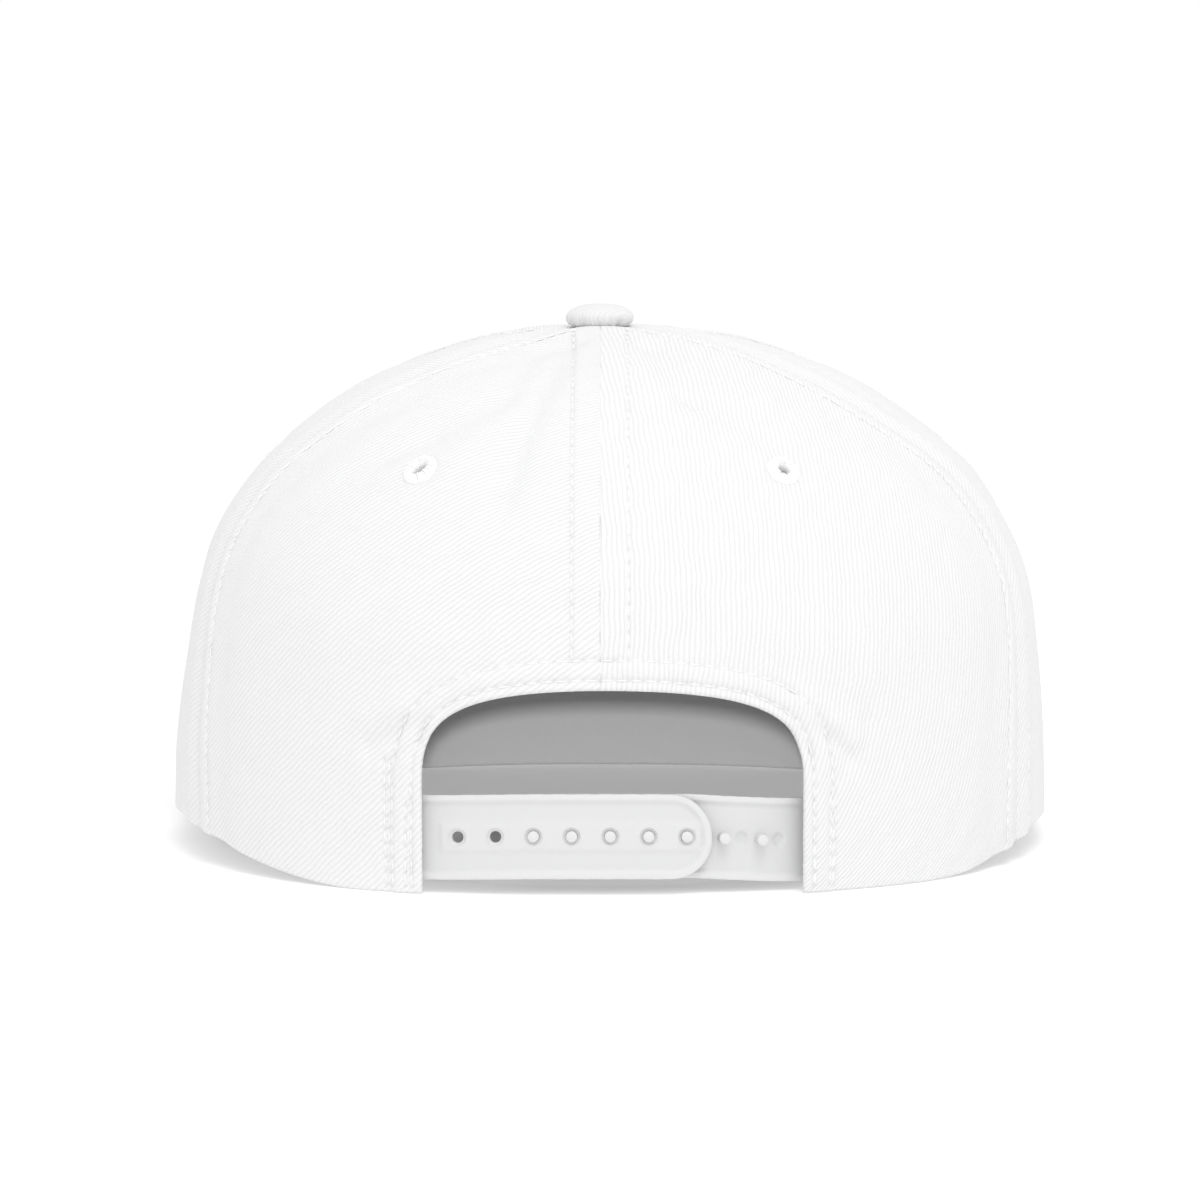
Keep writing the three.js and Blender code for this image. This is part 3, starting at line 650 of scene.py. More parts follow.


def twill(name, tint=0.79, depth=0.12 * MM, painted_needle_shade=True):
    """White cotton twill on the UV map called cloth."""
    cloth = Finish(name)
    flat = cloth.node("ShaderNodeUVMap", {"uv_map": "cloth"})
    u, v, _ = cloth.split(flat)
    drift = cloth.noise(flat, 7 * MM, 2.0) - 0.5
    slub = cloth.noise(flat, 1.6 * MM, 3.0)
    rib = (v - u) * (math.sqrt(0.5) / TWILL_PITCH) + drift * 1.3
    along = (u + v) * (math.sqrt(0.5) / FLOAT_LENGTH)
    crest = 1 - (rib.function("FRACT") * 2 - 1).function("ABSOLUTE") ** 2.2
    float_place = (along + rib.function("FLOOR") * FLOAT_STEP).function("FRACT")
    yarn = 1 - (float_place * 2 - 1).function("ABSOLUTE") ** 3.0
    fuzz = cloth.noise(flat, 0.25 * MM, 3.0, 0.7)
    height = crest * (0.62 + yarn * 0.38) * (0.75 + slub * 0.5) + fuzz * 0.16
    # painted shade: darker between the ribs, lighter on their crests; slub varies it at random
    shade = 0.30 + crest * 0.45 + slub * 0.25
    # painted shade at needle holes, round each eyelet and along the brim's quilting rows
    if painted_needle_shade:
        shade = shade - cloth.attribute("needle") * 0.65
    return cloth.surface(
        Base_Color=cloth.colour(shade, tint * TWILL_SHADOW, tint), Roughness=0.92, Specular_IOR_Level=0.18,
        Sheen_Weight=0.12, Sheen_Roughness=0.6, Normal=cloth.bump(height, depth))


crown_twill = twill("white cotton twill")
print("twill ribs:", TWILL_PITCH / MM, "mm apart")

# %% [markdown]
# Thread is brighter and smoother than cloth. Its twist is far too fine to model, so fine noise breaks up its
# sheen. Plain weave for the sweatband is a chequer of tiny bumps, over and under. Its mid grey is painted
# shade, which keeps the inside of the crown dark where it shows through the opening.

# %% Thread and plain weave
WEAVE_PITCH = 0.7 * MM


def thread_finish(name, tint):
    thread = Finish(name)
    strands = thread.noise(thread.object_place(), 0.3 * MM)
    return thread.surface(
        Base_Color=thread.colour(strands, tint * 0.91, tint), Roughness=0.55,
        Specular_IOR_Level=0.35, Sheen_Weight=0.1, Normal=thread.bump(strands, 0.08 * MM))


def plain_weave():
    weave = Finish("plain woven band")
    flat = weave.node("ShaderNodeUVMap", {"uv_map": "cloth"})
    u, v, _ = weave.split(flat)
    across, up = u * (math.pi / WEAVE_PITCH), v * (math.pi / WEAVE_PITCH)
    chequer = across.function("SINE") * up.function("SINE")
    fuzz = weave.noise(flat, 0.4 * MM)
    shade = chequer * 0.25 + fuzz * 0.5 + 0.25
    # painted shade: the band is mid grey so that the inside of the crown stays dark
    return weave.surface(
        Base_Color=weave.colour(shade, (0.45, 0.45, 0.453), 0.47), Roughness=0.9,
        Specular_IOR_Level=0.2, Normal=weave.bump(chequer + fuzz * 0.4, 0.014 * MM))


embroidery_thread = thread_finish("white embroidery thread", 0.93)
sewing_thread = thread_finish("white sewing thread", 0.87)
band_weave = plain_weave()
print("thread and weave ready")

# %% [markdown]
# The snap closure is moulded in a milky plastic. The attribute called raised sets its colour: lighter where
# it is thick, as in its lip, rail and studs, as painted light for the light scattered back in it, and darker
# down the funnels, round the holes and in the dimples, as painted shade.

# %% Milky plastic
def milky_plastic():
    plastic = Finish("milky moulded plastic")
    place = plastic.object_place()
    grain = plastic.noise(place, 0.7 * MM, 3.0, 0.6)
    # raised lightens the thick parts and carries painted shade in the hollows
    shade = plastic.attribute("raised") * 0.85 + plastic.noise(place, 9 * MM) * 0.15
    return plastic.surface(
        Base_Color=plastic.colour(shade, (0.627, 0.629, 0.632), 0.69), Specular_IOR_Level=0.4,
        Roughness=0.40 + grain * 0.16, Normal=plastic.bump(grain, 0.03 * MM))


snap_plastic = milky_plastic()
print("plastic ready")

# %% [markdown]
# A flat pattern tells how the twill turns over a panel. The distance along a level ring from the middle
# of the panel is one side of the UV map, and the length up the middle is the other. As a panel narrows
# to its point, its rings bend like those of a cone laid flat, and the ribs turn with them. The right back
# panel was cut the other way of the cloth: its ribs stand nearly upright and lean over near the rim.

# %% The flat pattern of a panel
PATTERN_MIDDLE = {"back": 34, "side": 90, "front": 150}
UPRIGHT_LEAN = 0.12
UPRIGHT_FOOT = 35 * MM
UPRIGHT_FADE = 25 * MM
LEAST_BEND = 1 / (260 * MM)  # how much a ring of the flat cloth bends at least
RING_STEPS = np.linspace(0, 1, 25)[:, None]


def level_run(start, turn, climb):
    """How long the level ring is from a turn to each point."""
    ring = crown_point(start + (turn - start) * RING_STEPS, climb)
    return np.linalg.norm(np.diff(ring, axis=0), axis=-1).sum(0)


def flat_pattern(place, side, turn, climb):
    """The place of each point on the flat cloth, in metres."""
    middle = float(SIGN[side] * PATTERN_MIDDLE[place])
    across = level_run(middle, turn, climb) * np.sign(turn - middle)
    table = np.linspace(0, 0.99, 400)
    run, radius = lengths_along(crown_point(middle, table)), from_axis(middle, table)
    bend = np.clip(-np.gradient(radius, run) / radius, LEAST_BEND, None)
    up = np.interp(climb, table, run) + across ** 2 / 2 * np.interp(climb, table, bend)
    if (place, side) != ("back", "right"):
        return np.stack([-across, up], -1)
    rib = -level_run(0.0, turn, climb) - UPRIGHT_LEAN * up - UPRIGHT_FOOT * np.exp(-up / UPRIGHT_FADE)
    return np.stack([up - rib, up + rib], -1) * math.sqrt(0.5)


print("pattern middles:", PATTERN_MIDDLE)

# %% [markdown]
# Side and front panels are four-sided: two seams, the rim and a short top. A back panel is too, once the
# arch is taken as the side that faces the side seam. A Coons patch fills it: it blends the four edge
# lines and takes off what was counted twice, on the crown laid flat round its button.

# %% The grid of each panel
PANEL_GAP = 0.03 * MM
BACK_TOP_TURN = 29.0  # the corner between a back panel's back seam and its side seam, under the button
EYELET_CLIMB = 0.53
EYELET_TURNS = {"back": 32, "side": 93, "front": 150}
EYELET_RADIUS = 3.4 * MM


def along_line(points, share):
    """Points a share of the way along a line, by its length."""
    run = lengths_along(points)
    return np.stack([np.interp(share * run[-1], run, column) for column in points.T], -1)


def back_patch(side, u, v):
    """Turn and climb on a back panel: u from the arch to the side seam, v from the back seam to the rim."""
    half = (ARCH[:, 0] > SEAM_OFFSET) == (side == "left")
    arch = flat_place(ARCH_TURN[half], ARCH_CLIMB[half])[::-SIGN[side]]
    apex = flat_place(0.0, apex_climb)
    arch = np.concatenate([apex[None], arch])
    top = flat_place(SIGN[side] * BACK_TOP_TURN, PANEL_TOP_CLIMB)
    side_seam = flat_place(*seam_line(SIGN[side]))[::-1]
    side_seam[0] = top
    back_seam = flat_place(*seam_line(0, apex_climb, PANEL_TOP_CLIMB))
    back_seam[0], back_seam[-1] = apex, top
    foot_turn = np.degrees(np.arctan2(*arch[-1]))
    rim_turn = np.degrees(np.arctan2(*side_seam[-1]))
    rim = flat_place(np.linspace(foot_turn, rim_turn, 300), np.zeros(300))
    p, q = u[:, None], v[:, None]
    arch_v, seam_v = along_line(arch, v), along_line(side_seam, v)
    back_u, rim_u = along_line(back_seam, u), along_line(rim, u)
    corners = (1 - p) * (1 - q) * apex + (1 - p) * q * arch[-1] + p * (1 - q) * top + p * q * side_seam[-1]
    at = (1 - p) * arch_v + p * seam_v + (1 - q) * back_u + q * rim_u - corners
    return np.degrees(np.arctan2(at[:, 0], at[:, 1])), np.clip(1 - np.linalg.norm(at, axis=1), 0, 1)


def gore_patch(place, side, u, v):
    """Turn and climb on a side or front panel."""
    sign, first = SIGN[side], FIRST_SEAM[place]
    climb = v * PANEL_TOP_CLIMB
    start, end = seam_turn(sign * first, climb), seam_turn(sign * (first + 1), climb)
    margin = sign * np.degrees(PANEL_GAP / from_axis(start, climb))
    return start + margin + (end - start - 2 * margin) * u, climb


print("back panel corner:", back_patch("left", np.array([0.0]), np.array([1.0])))

# %% [markdown]
# Now the six panels. Both walls share one height, so the cloth keeps its thickness, and both roll
# together at a fold. Under each eyelet the grid is cut before it is extruded, which leaves a clean hole.

# %% Crown panels
PANEL_GRID = {"back": (160, 170), "side": (92, 130), "front": (84, 112)}
EYELET_CUT = 2.1 * MM
EYELET_DIP = 0.5 * MM  # how far the cloth is drawn in round the eyelet's thread
EYELET_DIP_WIDTH = 0.8 * MM


def dented_point(turn, climb):
    return crown_point(turn, climb) - crown_out(turn, climb) * dent_at(turn, climb)[..., None]


def eyelet_seat(place, side):
    """The middle of the cloth under an eyelet, the way out of it and the way up along it."""
    turn = SIGN[side] * EYELET_TURNS[place]
    turns, climbs = np.array([turn + 2.0, turn - 2.0, turn, turn, turn]), np.full(5, EYELET_CLIMB)
    climbs[2:4] += (0.02, -0.02)
    right, left, up, down, middle = dented_point(turns, climbs)
    out = unit(np.cross(up - down, right - left))
    return middle - out * CLOTH / 2, out, unit(up - down)


def panel_place(place, side, u, v):
    u, v = crowded(u, 0.62), crowded(v, 0.55)
    return back_patch(side, u, v) if place == "back" else gore_patch(place, side, u, v)


def crown_panel(place, side):
    """One cloth panel of the crown."""
    seat, _, _ = eyelet_seat(place, side)
    kept = {}

    def cut(u, v):
        points = crown_point(*panel_place(place, side, u, v))
        return np.linalg.norm(points - seat, axis=1) < EYELET_CUT

    def lay_cloth(u, v, wall):
        turn, climb = panel_place(place, side, u, v)
        height, edge, needle = cloth_height(place, side, turn, climb)
        to_eyelet = np.linalg.norm(dented_point(turn, climb) - seat, axis=1)
        drawn = hump(to_eyelet - EYELET_RADIUS, EYELET_DIP_WIDTH)
        height -= EYELET_DIP * drawn
        # painted shade in the dip of the cloth round the eyelet
        needle = np.maximum(needle, 0.2 * drawn)
        inset = np.where(wall > 0.5, CLOTH - edge, edge) - height
        kept["uv"] = flat_pattern(place, side, turn, climb)
        # needle darkens the outer face of the twill: painted shade at needle holes and round the eyelet
        kept["needle"] = np.where(wall > 0.5, 0, needle)
        return crown_point(turn, climb) - crown_out(turn, climb) * inset[:, None]

    bm = sheet(*PANEL_GRID[place], lay_cloth, cut)
    return piece(
        f"{place}_panel_{side}", bm, crown_twill, [f"panel_{place}_{side}"],
        kept["uv"], {"needle": kept["needle"]})


for panel in PANELS:
    crown_panel(*panel)

# %% [markdown]
# A stitch is a short, plump piece of thread between two needle holes. A small sphere, stretched along
# the seam, has enough faces at this size, and hundreds of them are joined into one piece.

# %% Crown stitching
THREAD_RADIUS = 0.17 * MM
STITCH_SHARE = 0.82


def add_stitch(bm, start, end, out):
    """One stretched bead of thread between two needle holes."""
    along = end - start
    length = np.linalg.norm(along)
    x = along / length
    z = unit(out - (out @ x) * x)
    y = np.cross(z, x)
    middle = (start + end) / 2 + z * THREAD_RADIUS * 0.35
    turned = Matrix((*np.stack([x, y, z], 1).tolist(),)).to_4x4()
    sizes = Matrix.Diagonal((length * STITCH_SHARE / 2, THREAD_RADIUS * 1.25, THREAD_RADIUS, 1))
    bmesh.ops.create_uvsphere(
        bm, u_segments=6, v_segments=4, radius=1, matrix=Matrix.Translation(middle) @ turned @ sizes)


def add_row(whole, points, ways):
    """A row of stitches from point to point, joined to the rows before it."""
    row = bmesh.new()
    for start, end, way in zip(points[:-1], points[1:], ways):
        add_stitch(row, start, end, way)
    joined = bpy.data.meshes.new("row")
    row.to_mesh(joined)
    row.free()
    whole.from_mesh(joined)
    bpy.data.meshes.remove(joined)


def crown_stitching():
    """The rows of thread on all the panels."""
    whole = bmesh.new()
    for panel, routes in ROUTES.items():
        for turn, climb in (needle_holes(*route) for route in routes):
            level = cloth_height(*panel, (turn[1:] + turn[:-1]) / 2, (climb[1:] + climb[:-1]) / 2)[0]
            out = crown_out(turn, climb)
            add_row(whole, crown_point(turn, climb) + out * np.r_[level, level[-1]][:, None], out)
    return piece("crown_stitching", whole, sewing_thread)


crown_stitching()

# %% [markdown]
# An embroidered eyelet is a ring of thread laid close together round a pierced hole, over both faces of
# the cloth. A closed profile is spun into a ring, and its points are then moved so that every thread
# makes a small ridge. The hole is pulled into a slit, as it is on a real one.

# %% Eyelets
EYELET_HOLE = 0.95 * MM
EYELET_THICKNESS = {"back": 0.85 * MM, "side": 0.4 * MM, "front": 0.6 * MM}  # the side ones are worn flat
EYELET_THREADS = 30
EYELET_STEPS = EYELET_THREADS * 6
EYELET_SLIT = {"left": (0.62, 1.35, -35), "right": (0.85, 1.0, 20)}  # narrowing, lengthening and tilt
EYELET_UPRIGHT = {"back": 1.2, "side": 1.0, "front": 1.0}  # how much taller than wide the ring is sewn


def eyelet_profile(thickness):
    """A closed line round the thread, as radius and height."""
    lift = CLOTH / 2 + thickness
    outer = [(math.cos(a), math.sin(a)) for a in np.linspace(-math.pi / 2, math.pi / 2, 9)]
    middle = (EYELET_RADIUS + EYELET_HOLE) / 2
    half = (EYELET_RADIUS - EYELET_HOLE) / 2
    turns = [(c, s) for c, s in outer] + [(-0.9 * c, s) for c, s in outer[-2:0:-1]]
    return [(middle + half * c, lift * np.sign(s) * abs(s) ** 0.8) for c, s in turns]


def spun(profile, steps, closed):
    """A profile of radius and height, spun round the Z axis."""
    bm = bmesh.new()
    points = [bm.verts.new((radius, 0, height)) for radius, height in profile]
    pairs = list(zip(points, points[1:])) + ([(points[-1], points[0])] if closed else [])
    edges = [bm.edges.new(pair) for pair in pairs]
    bmesh.ops.spin(
        bm, geom=points + edges, cent=(0, 0, 0), axis=(0, 0, 1), dvec=(0, 0, 0),
        angle=2 * math.pi, steps=steps, use_merge=True, use_duplicate=False)
    bmesh.ops.remove_doubles(bm, verts=bm.verts[:], dist=1e-6)
    bmesh.ops.recalc_face_normals(bm, faces=bm.faces[:])
    return bm


def eyelet_ring(place, side):
    """One embroidered eyelet."""
    seat, out, up = eyelet_seat(place, side)
    across = np.cross(up, out)
    bm = spun(eyelet_profile(EYELET_THICKNESS[place]), EYELET_STEPS, True)
    at = np.array([vertex.co for vertex in bm.verts])
    angle = np.arctan2(at[:, 1], at[:, 0])
    radius = np.hypot(at[:, 0], at[:, 1])
    share = (radius - EYELET_HOLE) / (EYELET_RADIUS - EYELET_HOLE)
    thread = abs(np.cos(angle * EYELET_THREADS / 2))
    number = np.floor((angle * EYELET_THREADS / math.pi + 1) / 2) % EYELET_THREADS
    ragged = np.sin(number * 12.9898 + 3 * SIGN[side] + len(place)) * 0.13 * MM
    radius = radius + ragged * smoothstep(share, 0.6, 1.0)
    height = at[:, 2] * (1 - 0.24 * (1 - thread)) * (1 + 0.10 * np.sin(number * 4.1))
    narrow, long, tilt = EYELET_SLIT[side]
    inner = 1 - smoothstep(share, 0, 0.75)
    tilt = math.radians(tilt)
    x = radius * np.cos(angle - tilt) * (1 + (narrow - 1) * inner)
    y = radius * np.sin(angle - tilt) * (1 + (long - 1) * inner)
    x, y = x * math.cos(tilt) - y * math.sin(tilt), x * math.sin(tilt) + y * math.cos(tilt)
    y = y * EYELET_UPRIGHT[place]
    lay(bm, seat + x[:, None] * across + y[:, None] * up + height[:, None] * out)
    return piece(
        f"{place}_eyelet_{side}", bm, embroidery_thread, [f"eyelet_{place}_{side}"])


for panel in PANELS:
    eyelet_ring(*panel)

# %% [markdown]
# The button is a metal disc covered in the crown's own twill. The cloth is stretched smooth over the
# dome and gathered underneath, so small folds run in towards its foot, and one of them is deeper.

# %% Covered button
BUTTON_RADIUS = 7.35 * MM
BUTTON_HEIGHT = 4.7 * MM
BUTTON_EDGE = 1.75 * MM
BUTTON_GATHERS = 15
BUTTON_FOLD_ANGLE = 118  # where the deeper fold lies, seen from above, in degrees from +X


def button_profile():
    dome = [(math.cos(a), math.sin(a)) for a in np.linspace(0, math.pi / 2, 16)]
    top = [(BUTTON_RADIUS * c ** 0.82, BUTTON_EDGE + (BUTTON_HEIGHT - BUTTON_EDGE) * s) for c, s in dome]
    under = [(math.cos(a), math.sin(a)) for a in np.linspace(-math.pi / 2, 0, 10)[:-1]]
    foot = BUTTON_RADIUS * 0.72
    low = [(foot + (BUTTON_RADIUS - foot) * c, BUTTON_EDGE + (BUTTON_EDGE + 0.3 * MM) * s) for c, s in under]
    closed = [(0, low[0][1])] + [(foot * share, low[0][1]) for share in (0.35, 0.7)]
    top[-1] = (0, top[-1][1])
    return closed + low + top


def covered_button():
    bm = spun(button_profile(), 120, False)
    at = np.array([vertex.co for vertex in bm.verts])
    angle, radius = np.arctan2(at[:, 1], at[:, 0]), np.hypot(at[:, 0], at[:, 1])
    below = smoothstep(at[:, 2], BUTTON_EDGE + 0.9 * MM, -0.2 * MM) * smoothstep(radius, 2 * MM, 5 * MM)
    gathers = 0.5 * np.cos(angle * BUTTON_GATHERS + 1.3 * np.sin(3 * angle)) * 0.42 * MM
    fold = math.radians(BUTTON_FOLD_ANGLE)
    away = (angle - fold + math.pi) % (2 * math.pi) - math.pi
    deep = 0.75 * MM * hump(away + (at[:, 2] - BUTTON_EDGE) * 130, 0.16)
    scale = 1 + (gathers - deep) * below / np.maximum(radius, 1 * MM)
    slack = 1 + 0.012 * np.sin(2 * angle + 0.7) + 0.006 * np.sin(5 * angle)
    place = at * np.stack([scale * slack, scale * slack, np.ones(len(at))], -1)
    lay(bm, place + AXIS + (0, 0, CROWN_HEIGHT))
    return piece("button_cover", bm, button_twill, ["top_button"], at[:, :2] * 1.25)


button_twill = twill("white cotton twill on the button", tint=0.76, depth=0.09 * MM, painted_needle_shade=False)
covered_button()

# %% [markdown]
# The brim is a stiff board between two cloths, closed along its edge. Both halves are flat sheets whose
# outline is a superellipse: an ellipse with squarer shoulders. Quilting rows run round it, six
# millimetres apart, and the cloth puffs up a little between them.

# %% Brim outline and quilting rows
BRIM_LENGTH = 70 * MM
BRIM_WIDTH = 189 * MM
BRIM_TURN = 73
BRIM_FULLNESS = 2.4
QUILT_FIRST = 3.4 * MM
QUILT_PITCH = 6 * MM
QUILT_ROWS = 8
QUILT_CLEARANCE = 1.6 * MM  # between the end of a row and the crown
QUILT_STITCH = 3.2 * MM
QUILT_DIP, QUILT_DIP_WIDTH = 0.28 * MM, 0.75 * MM
BRIM_LOOSENESS = 0.06 * MM  # between the two halves at the edge


def brim_edge(across):
    """The brim's front edge, from -1 to 1 across it."""
    corner = (crown_point(180.0 - BRIM_TURN, 0.0) - crown_out(180.0 - BRIM_TURN, 0.0) * CLOTH)[1]
    angle = across * math.pi / 2
    power = 2 / BRIM_FULLNESS
    x = BRIM_WIDTH / 2 * np.sign(across) * abs(np.sin(angle)) ** power
    reach = FRONT_DEPTH + BRIM_LENGTH + corner - AXIS[1]
    y = corner - reach * abs(np.cos(angle)) ** power
    return np.stack([x, y, np.zeros(len(across))], -1)


def brim_foot(across):
    """The line on which the brim meets the crown's inner face, from -1 to 1 across it."""
    turn = 180 - across * BRIM_TURN
    return (crown_point(turn, 0.0) - crown_out(turn, 0.0) * CLOTH) * (1, 1, 0)


EDGE_LINE = brim_edge(np.linspace(-1, 1, 1600))
FOOT_LINE = brim_foot(np.linspace(-1, 1, 600))


def quilt_row(offset):
    """The edge moved in by an offset, as far as it stays clear of the crown."""
    way = unit(np.gradient(EDGE_LINE, axis=0))
    inward = np.stack([-way[:, 1], way[:, 0], way[:, 2] * 0], -1)
    line = EDGE_LINE + inward * offset
    foot = FOOT_LINE[np.argsort(FOOT_LINE[:, 0])]
    crown = crown_point(np.linspace(0, 360, 1200), 0.0) * (1, 1, 0)
    clear = distance_to(line, crown) > QUILT_CLEARANCE
    front = distance_to(line, EDGE_LINE) > offset * 0.97
    ahead = line[:, 1] < np.interp(line[:, 0], foot[:, 0], foot[:, 1])
    return line[clear & front & ahead]


QUILT_LINES = [quilt_row(QUILT_FIRST + i * QUILT_PITCH) for i in range(QUILT_ROWS)]
print("quilting rows:", [round(lengths_along(line)[-1] / MM) for line in QUILT_LINES], "mm")

# %% [markdown]
# Each half is a sheet again: v runs from under the crown to the front edge. The distance from the edge rounds
# it over, and the distance from the nearest row of quilting dips it and darkens it with painted shade.

# %% Brim halves
BRIM_GRID = (190, 76)


def brim_half(name, node, top):
    """The upper or the under half of the brim."""
    kept = {}

    def lay_brim(u, v, wall):
        across = 2 * crowded(u, 0.35) - 1
        share = 1 - (1 - v) ** 1.35
        place = brim_foot(across) * (1 - share)[:, None] + brim_edge(across) * share[:, None]
        to_edge = distance_to(place, EDGE_LINE)
        to_row = distance_to(place, np.concatenate(QUILT_LINES))
        under_crown = smoothstep(distance_to(place, FOOT_LINE), 0, 2 * MM)
        quilt = QUILT_DIP * hump(to_row, QUILT_DIP_WIDTH)
        slack = 0.07 * MM * waviness(place, 14 * MM, 5)
        half = BRIM_THICKNESS / 2 - BRIM_LOOSENESS / 2
        outer = half - quilt * under_crown + (slack - 0.08 * MM if top else -abs(slack))
        outer = outer - roll(to_edge, half * 0.92)
        inner = BRIM_LOOSENESS / 2
        level = np.where(wall > 0.5, inner, np.maximum(outer, inner + 0.08 * MM))
        place[:, 2] = BRIM_THICKNESS / 2 + (level if top else -level)
        kept["uv"] = place[:, :2] * (1, 1 if top else -1)
        # painted shade along each row of quilting
        kept["needle"] = np.where(wall > 0.5, 0, hump(to_row, 0.35 * MM) * 0.3)
        return place

    bm = sheet(*BRIM_GRID, lay_brim)
    return piece(name, bm, crown_twill, [node], kept["uv"], {"needle": kept["needle"]})


brim_half("brim_top", "visor_upper", True)
brim_half("brim_under", "visor_under", False)


def brim_stitching():
    """The thread of the quilting rows, above and below."""
    whole = bmesh.new()
    for level, out in ((BRIM_THICKNESS - 0.34 * MM, 1.0), (0.30 * MM, -1.0)):
        for line in QUILT_LINES:
            shares = np.linspace(0, 1, max(2, round(lengths_along(line)[-1] / QUILT_STITCH)))
            points = along_line(line, shares)
            points[:, 2] = level
            add_row(whole, points, np.array([[0, 0, out]] * len(points)))
    return piece("brim_stitching", whole, sewing_thread)


brim_stitching()

# %% [markdown]
# The sweatband lies inside the rim and ends on both sides of the back opening. It is a long woven strip
# with both edges folded over, so its edges are round. Its face is what shows through the opening, and
# behind the brim its lower edge comes down to the table.

# %% Sweatband
BAND_HEIGHT = 32 * MM
BAND_THICKNESS = 1.3 * MM
BAND_START_TURN = 32
BAND_RAISE = 0.8 * MM
BAND_DROP_TURN = 12
BAND_GRID = (330, 34)
BAND_FOLD = 0.6 * MM
BAND_WAVE = 0.12 * MM
BAND_ROW_OFFSET, BAND_ROW_DIP = 2.6 * MM, 0.2 * MM  # the row that holds the folded edge


def band_drop(turn, v):
    """How far the band reaches down below the rim behind the brim."""
    corner = 180 - BRIM_TURN
    behind = smoothstep(abs((turn + 180) % 360 - 180), corner, corner + BAND_DROP_TURN)
    return behind * (rim_height(turn) + BAND_RAISE) * (1 - v) ** 3


def sweatband():
    kept = {}

    def lay_band(u, v, wall):
        turn = BAND_START_TURN + (360 - 2 * BAND_START_TURN) * u
        up = crowded(v, 0.6) * BAND_HEIGHT
        climb = climb_at_rise(up / CROWN_HEIGHT)
        base, out = crown_point(turn, climb), crown_out(turn, climb)
        to_edge = np.minimum(up, BAND_HEIGHT - up)
        edge = roll(to_edge, BAND_FOLD)
        wave = BAND_WAVE * (1 + waviness(base, 21 * MM, 9))
        row = BAND_ROW_DIP * hump(to_edge - BAND_ROW_OFFSET, 0.6 * MM)
        inset = CLOTH + GAP + np.where(wall > 0.5, BAND_THICKNESS - edge - row + wave, edge + wave)
        place = base - out * inset[:, None]
        place[:, 2] += BAND_RAISE - band_drop(turn, up / BAND_HEIGHT)
        length = (CROWN_WIDTH + BACK_DEPTH) * math.pi / 3
        kept["uv"] = np.stack([u * length * 2, up], -1)
        return place

    return piece("sweatband_cloth", sheet(*BAND_GRID, lay_band), band_weave,
                 ["sweatband"], kept["uv"])


sweatband()

# %% [markdown]
# The snap closure is two moulded straps. The outer one has holes, the inner one studs. Both share a
# layout: a plate with a lip round its edge, and round things in a row at an even pitch. The grid is fine
# enough that each pitch has twenty cells, and cells round a hole are drawn into rings, so that the hole
# is round and its edge crisp.

# %% Snap closure layout
STRAP_HEIGHT = 17.1 * MM
STRAP_RAISE = 2.8 * MM
STRAP_THICKNESS = 1.1 * MM
STRAP_LIP = 0.5 * MM
STRAP_LIP_WIDTH = 1.5 * MM
STRAP_SEWN_LENGTH = 8 * MM
STRAP_CORNER = 8.3 * MM
STRAP_TAIL = 5.2 * MM
SNAP_PITCH = 7.75 * MM
SNAP_FIRST_X = 31.2 * MM
SNAP_COUNT = 7
SNAP_FREE_HOLES = 2
RAIL_HEIGHT = 6.1 * MM
RAIL_OVERHANG = {"sewn": 3.5 * MM, "free": 2.9 * MM}
STRAP_MIDDLE = STRAP_RAISE + STRAP_HEIGHT / 2
OUTER_SEWN_X = ARCH_LEFT + STRAP_SEWN_LENGTH
INNER_SEWN_X = -ARCH_RIGHT - STRAP_SEWN_LENGTH
OUTER_INSET = CLOTH + GAP
INNER_INSET = OUTER_INSET + STRAP_LIP + STRAP_THICKNESS + GAP
CELL = SNAP_PITCH / 20
RING_CELLS = 8
RING_FREE = RING_CELLS * CELL
STRAP_ROWS = 44
STRAP_HANG = np.array([
    (-46, -1.2), (-35, -0.85), (-25, -0.2), (-15, 0.45), (0, 0.6), (14, 0.55), (26, 0.25), (36, -0.1),
    (46, -0.25),
]) * MM  # how high the strap hangs at places across it, above an even ring


def snap_x(index):
    return SNAP_FIRST_X - index * SNAP_PITCH


def ringed(x, z, centres, rings):
    """Draws the cells round each centre into rings, each given in cells and by the radius it gets."""
    cells, radii = zip(*rings)
    for centre in centres:
        dx, dz = x - centre, z - STRAP_MIDDLE
        square = np.maximum(abs(dx), abs(dz))
        round_ = np.maximum(np.hypot(dx, dz), 1e-9)
        near = square < RING_FREE
        target = np.interp(square / CELL, cells, radii)
        share = 1 - smoothstep(square, 5 * CELL, RING_FREE)
        x = np.where(near, x + share * (dx * target / round_ - dx), x)
        z = np.where(near, z + share * (dz * target / round_ - dz), z)
    return x, z


def strap_grid(sewn, end, u, v):
    """The flat place of each point of a strap whose end is round: x across and z up."""
    way = np.sign(end - sewn)
    x = sewn + (end - sewn) * u
    inner, outer = RING_FREE, STRAP_HEIGHT / 2
    half = abs(2 * v - 1)
    core = RING_CELLS / (STRAP_ROWS / 2)
    rise = np.where(
        half < core, half / core * inner,
        inner + (outer - inner) * (1 - (1 - np.clip((half - core) / (1 - core), 0, 1)) ** 1.5))
    z = STRAP_MIDDLE + np.sign(v - 0.5) * rise
    beyond = np.clip(STRAP_CORNER - (outer - rise), 0, STRAP_CORNER)
    tip = end - way * (STRAP_CORNER - np.sqrt(STRAP_CORNER ** 2 - beyond ** 2))
    start = end - way * (STRAP_CORNER + 2 * MM)
    late = np.clip((x - start) / (end - start), 0, 1)
    return np.where(late > 0, start + (tip - start) * late, x), z


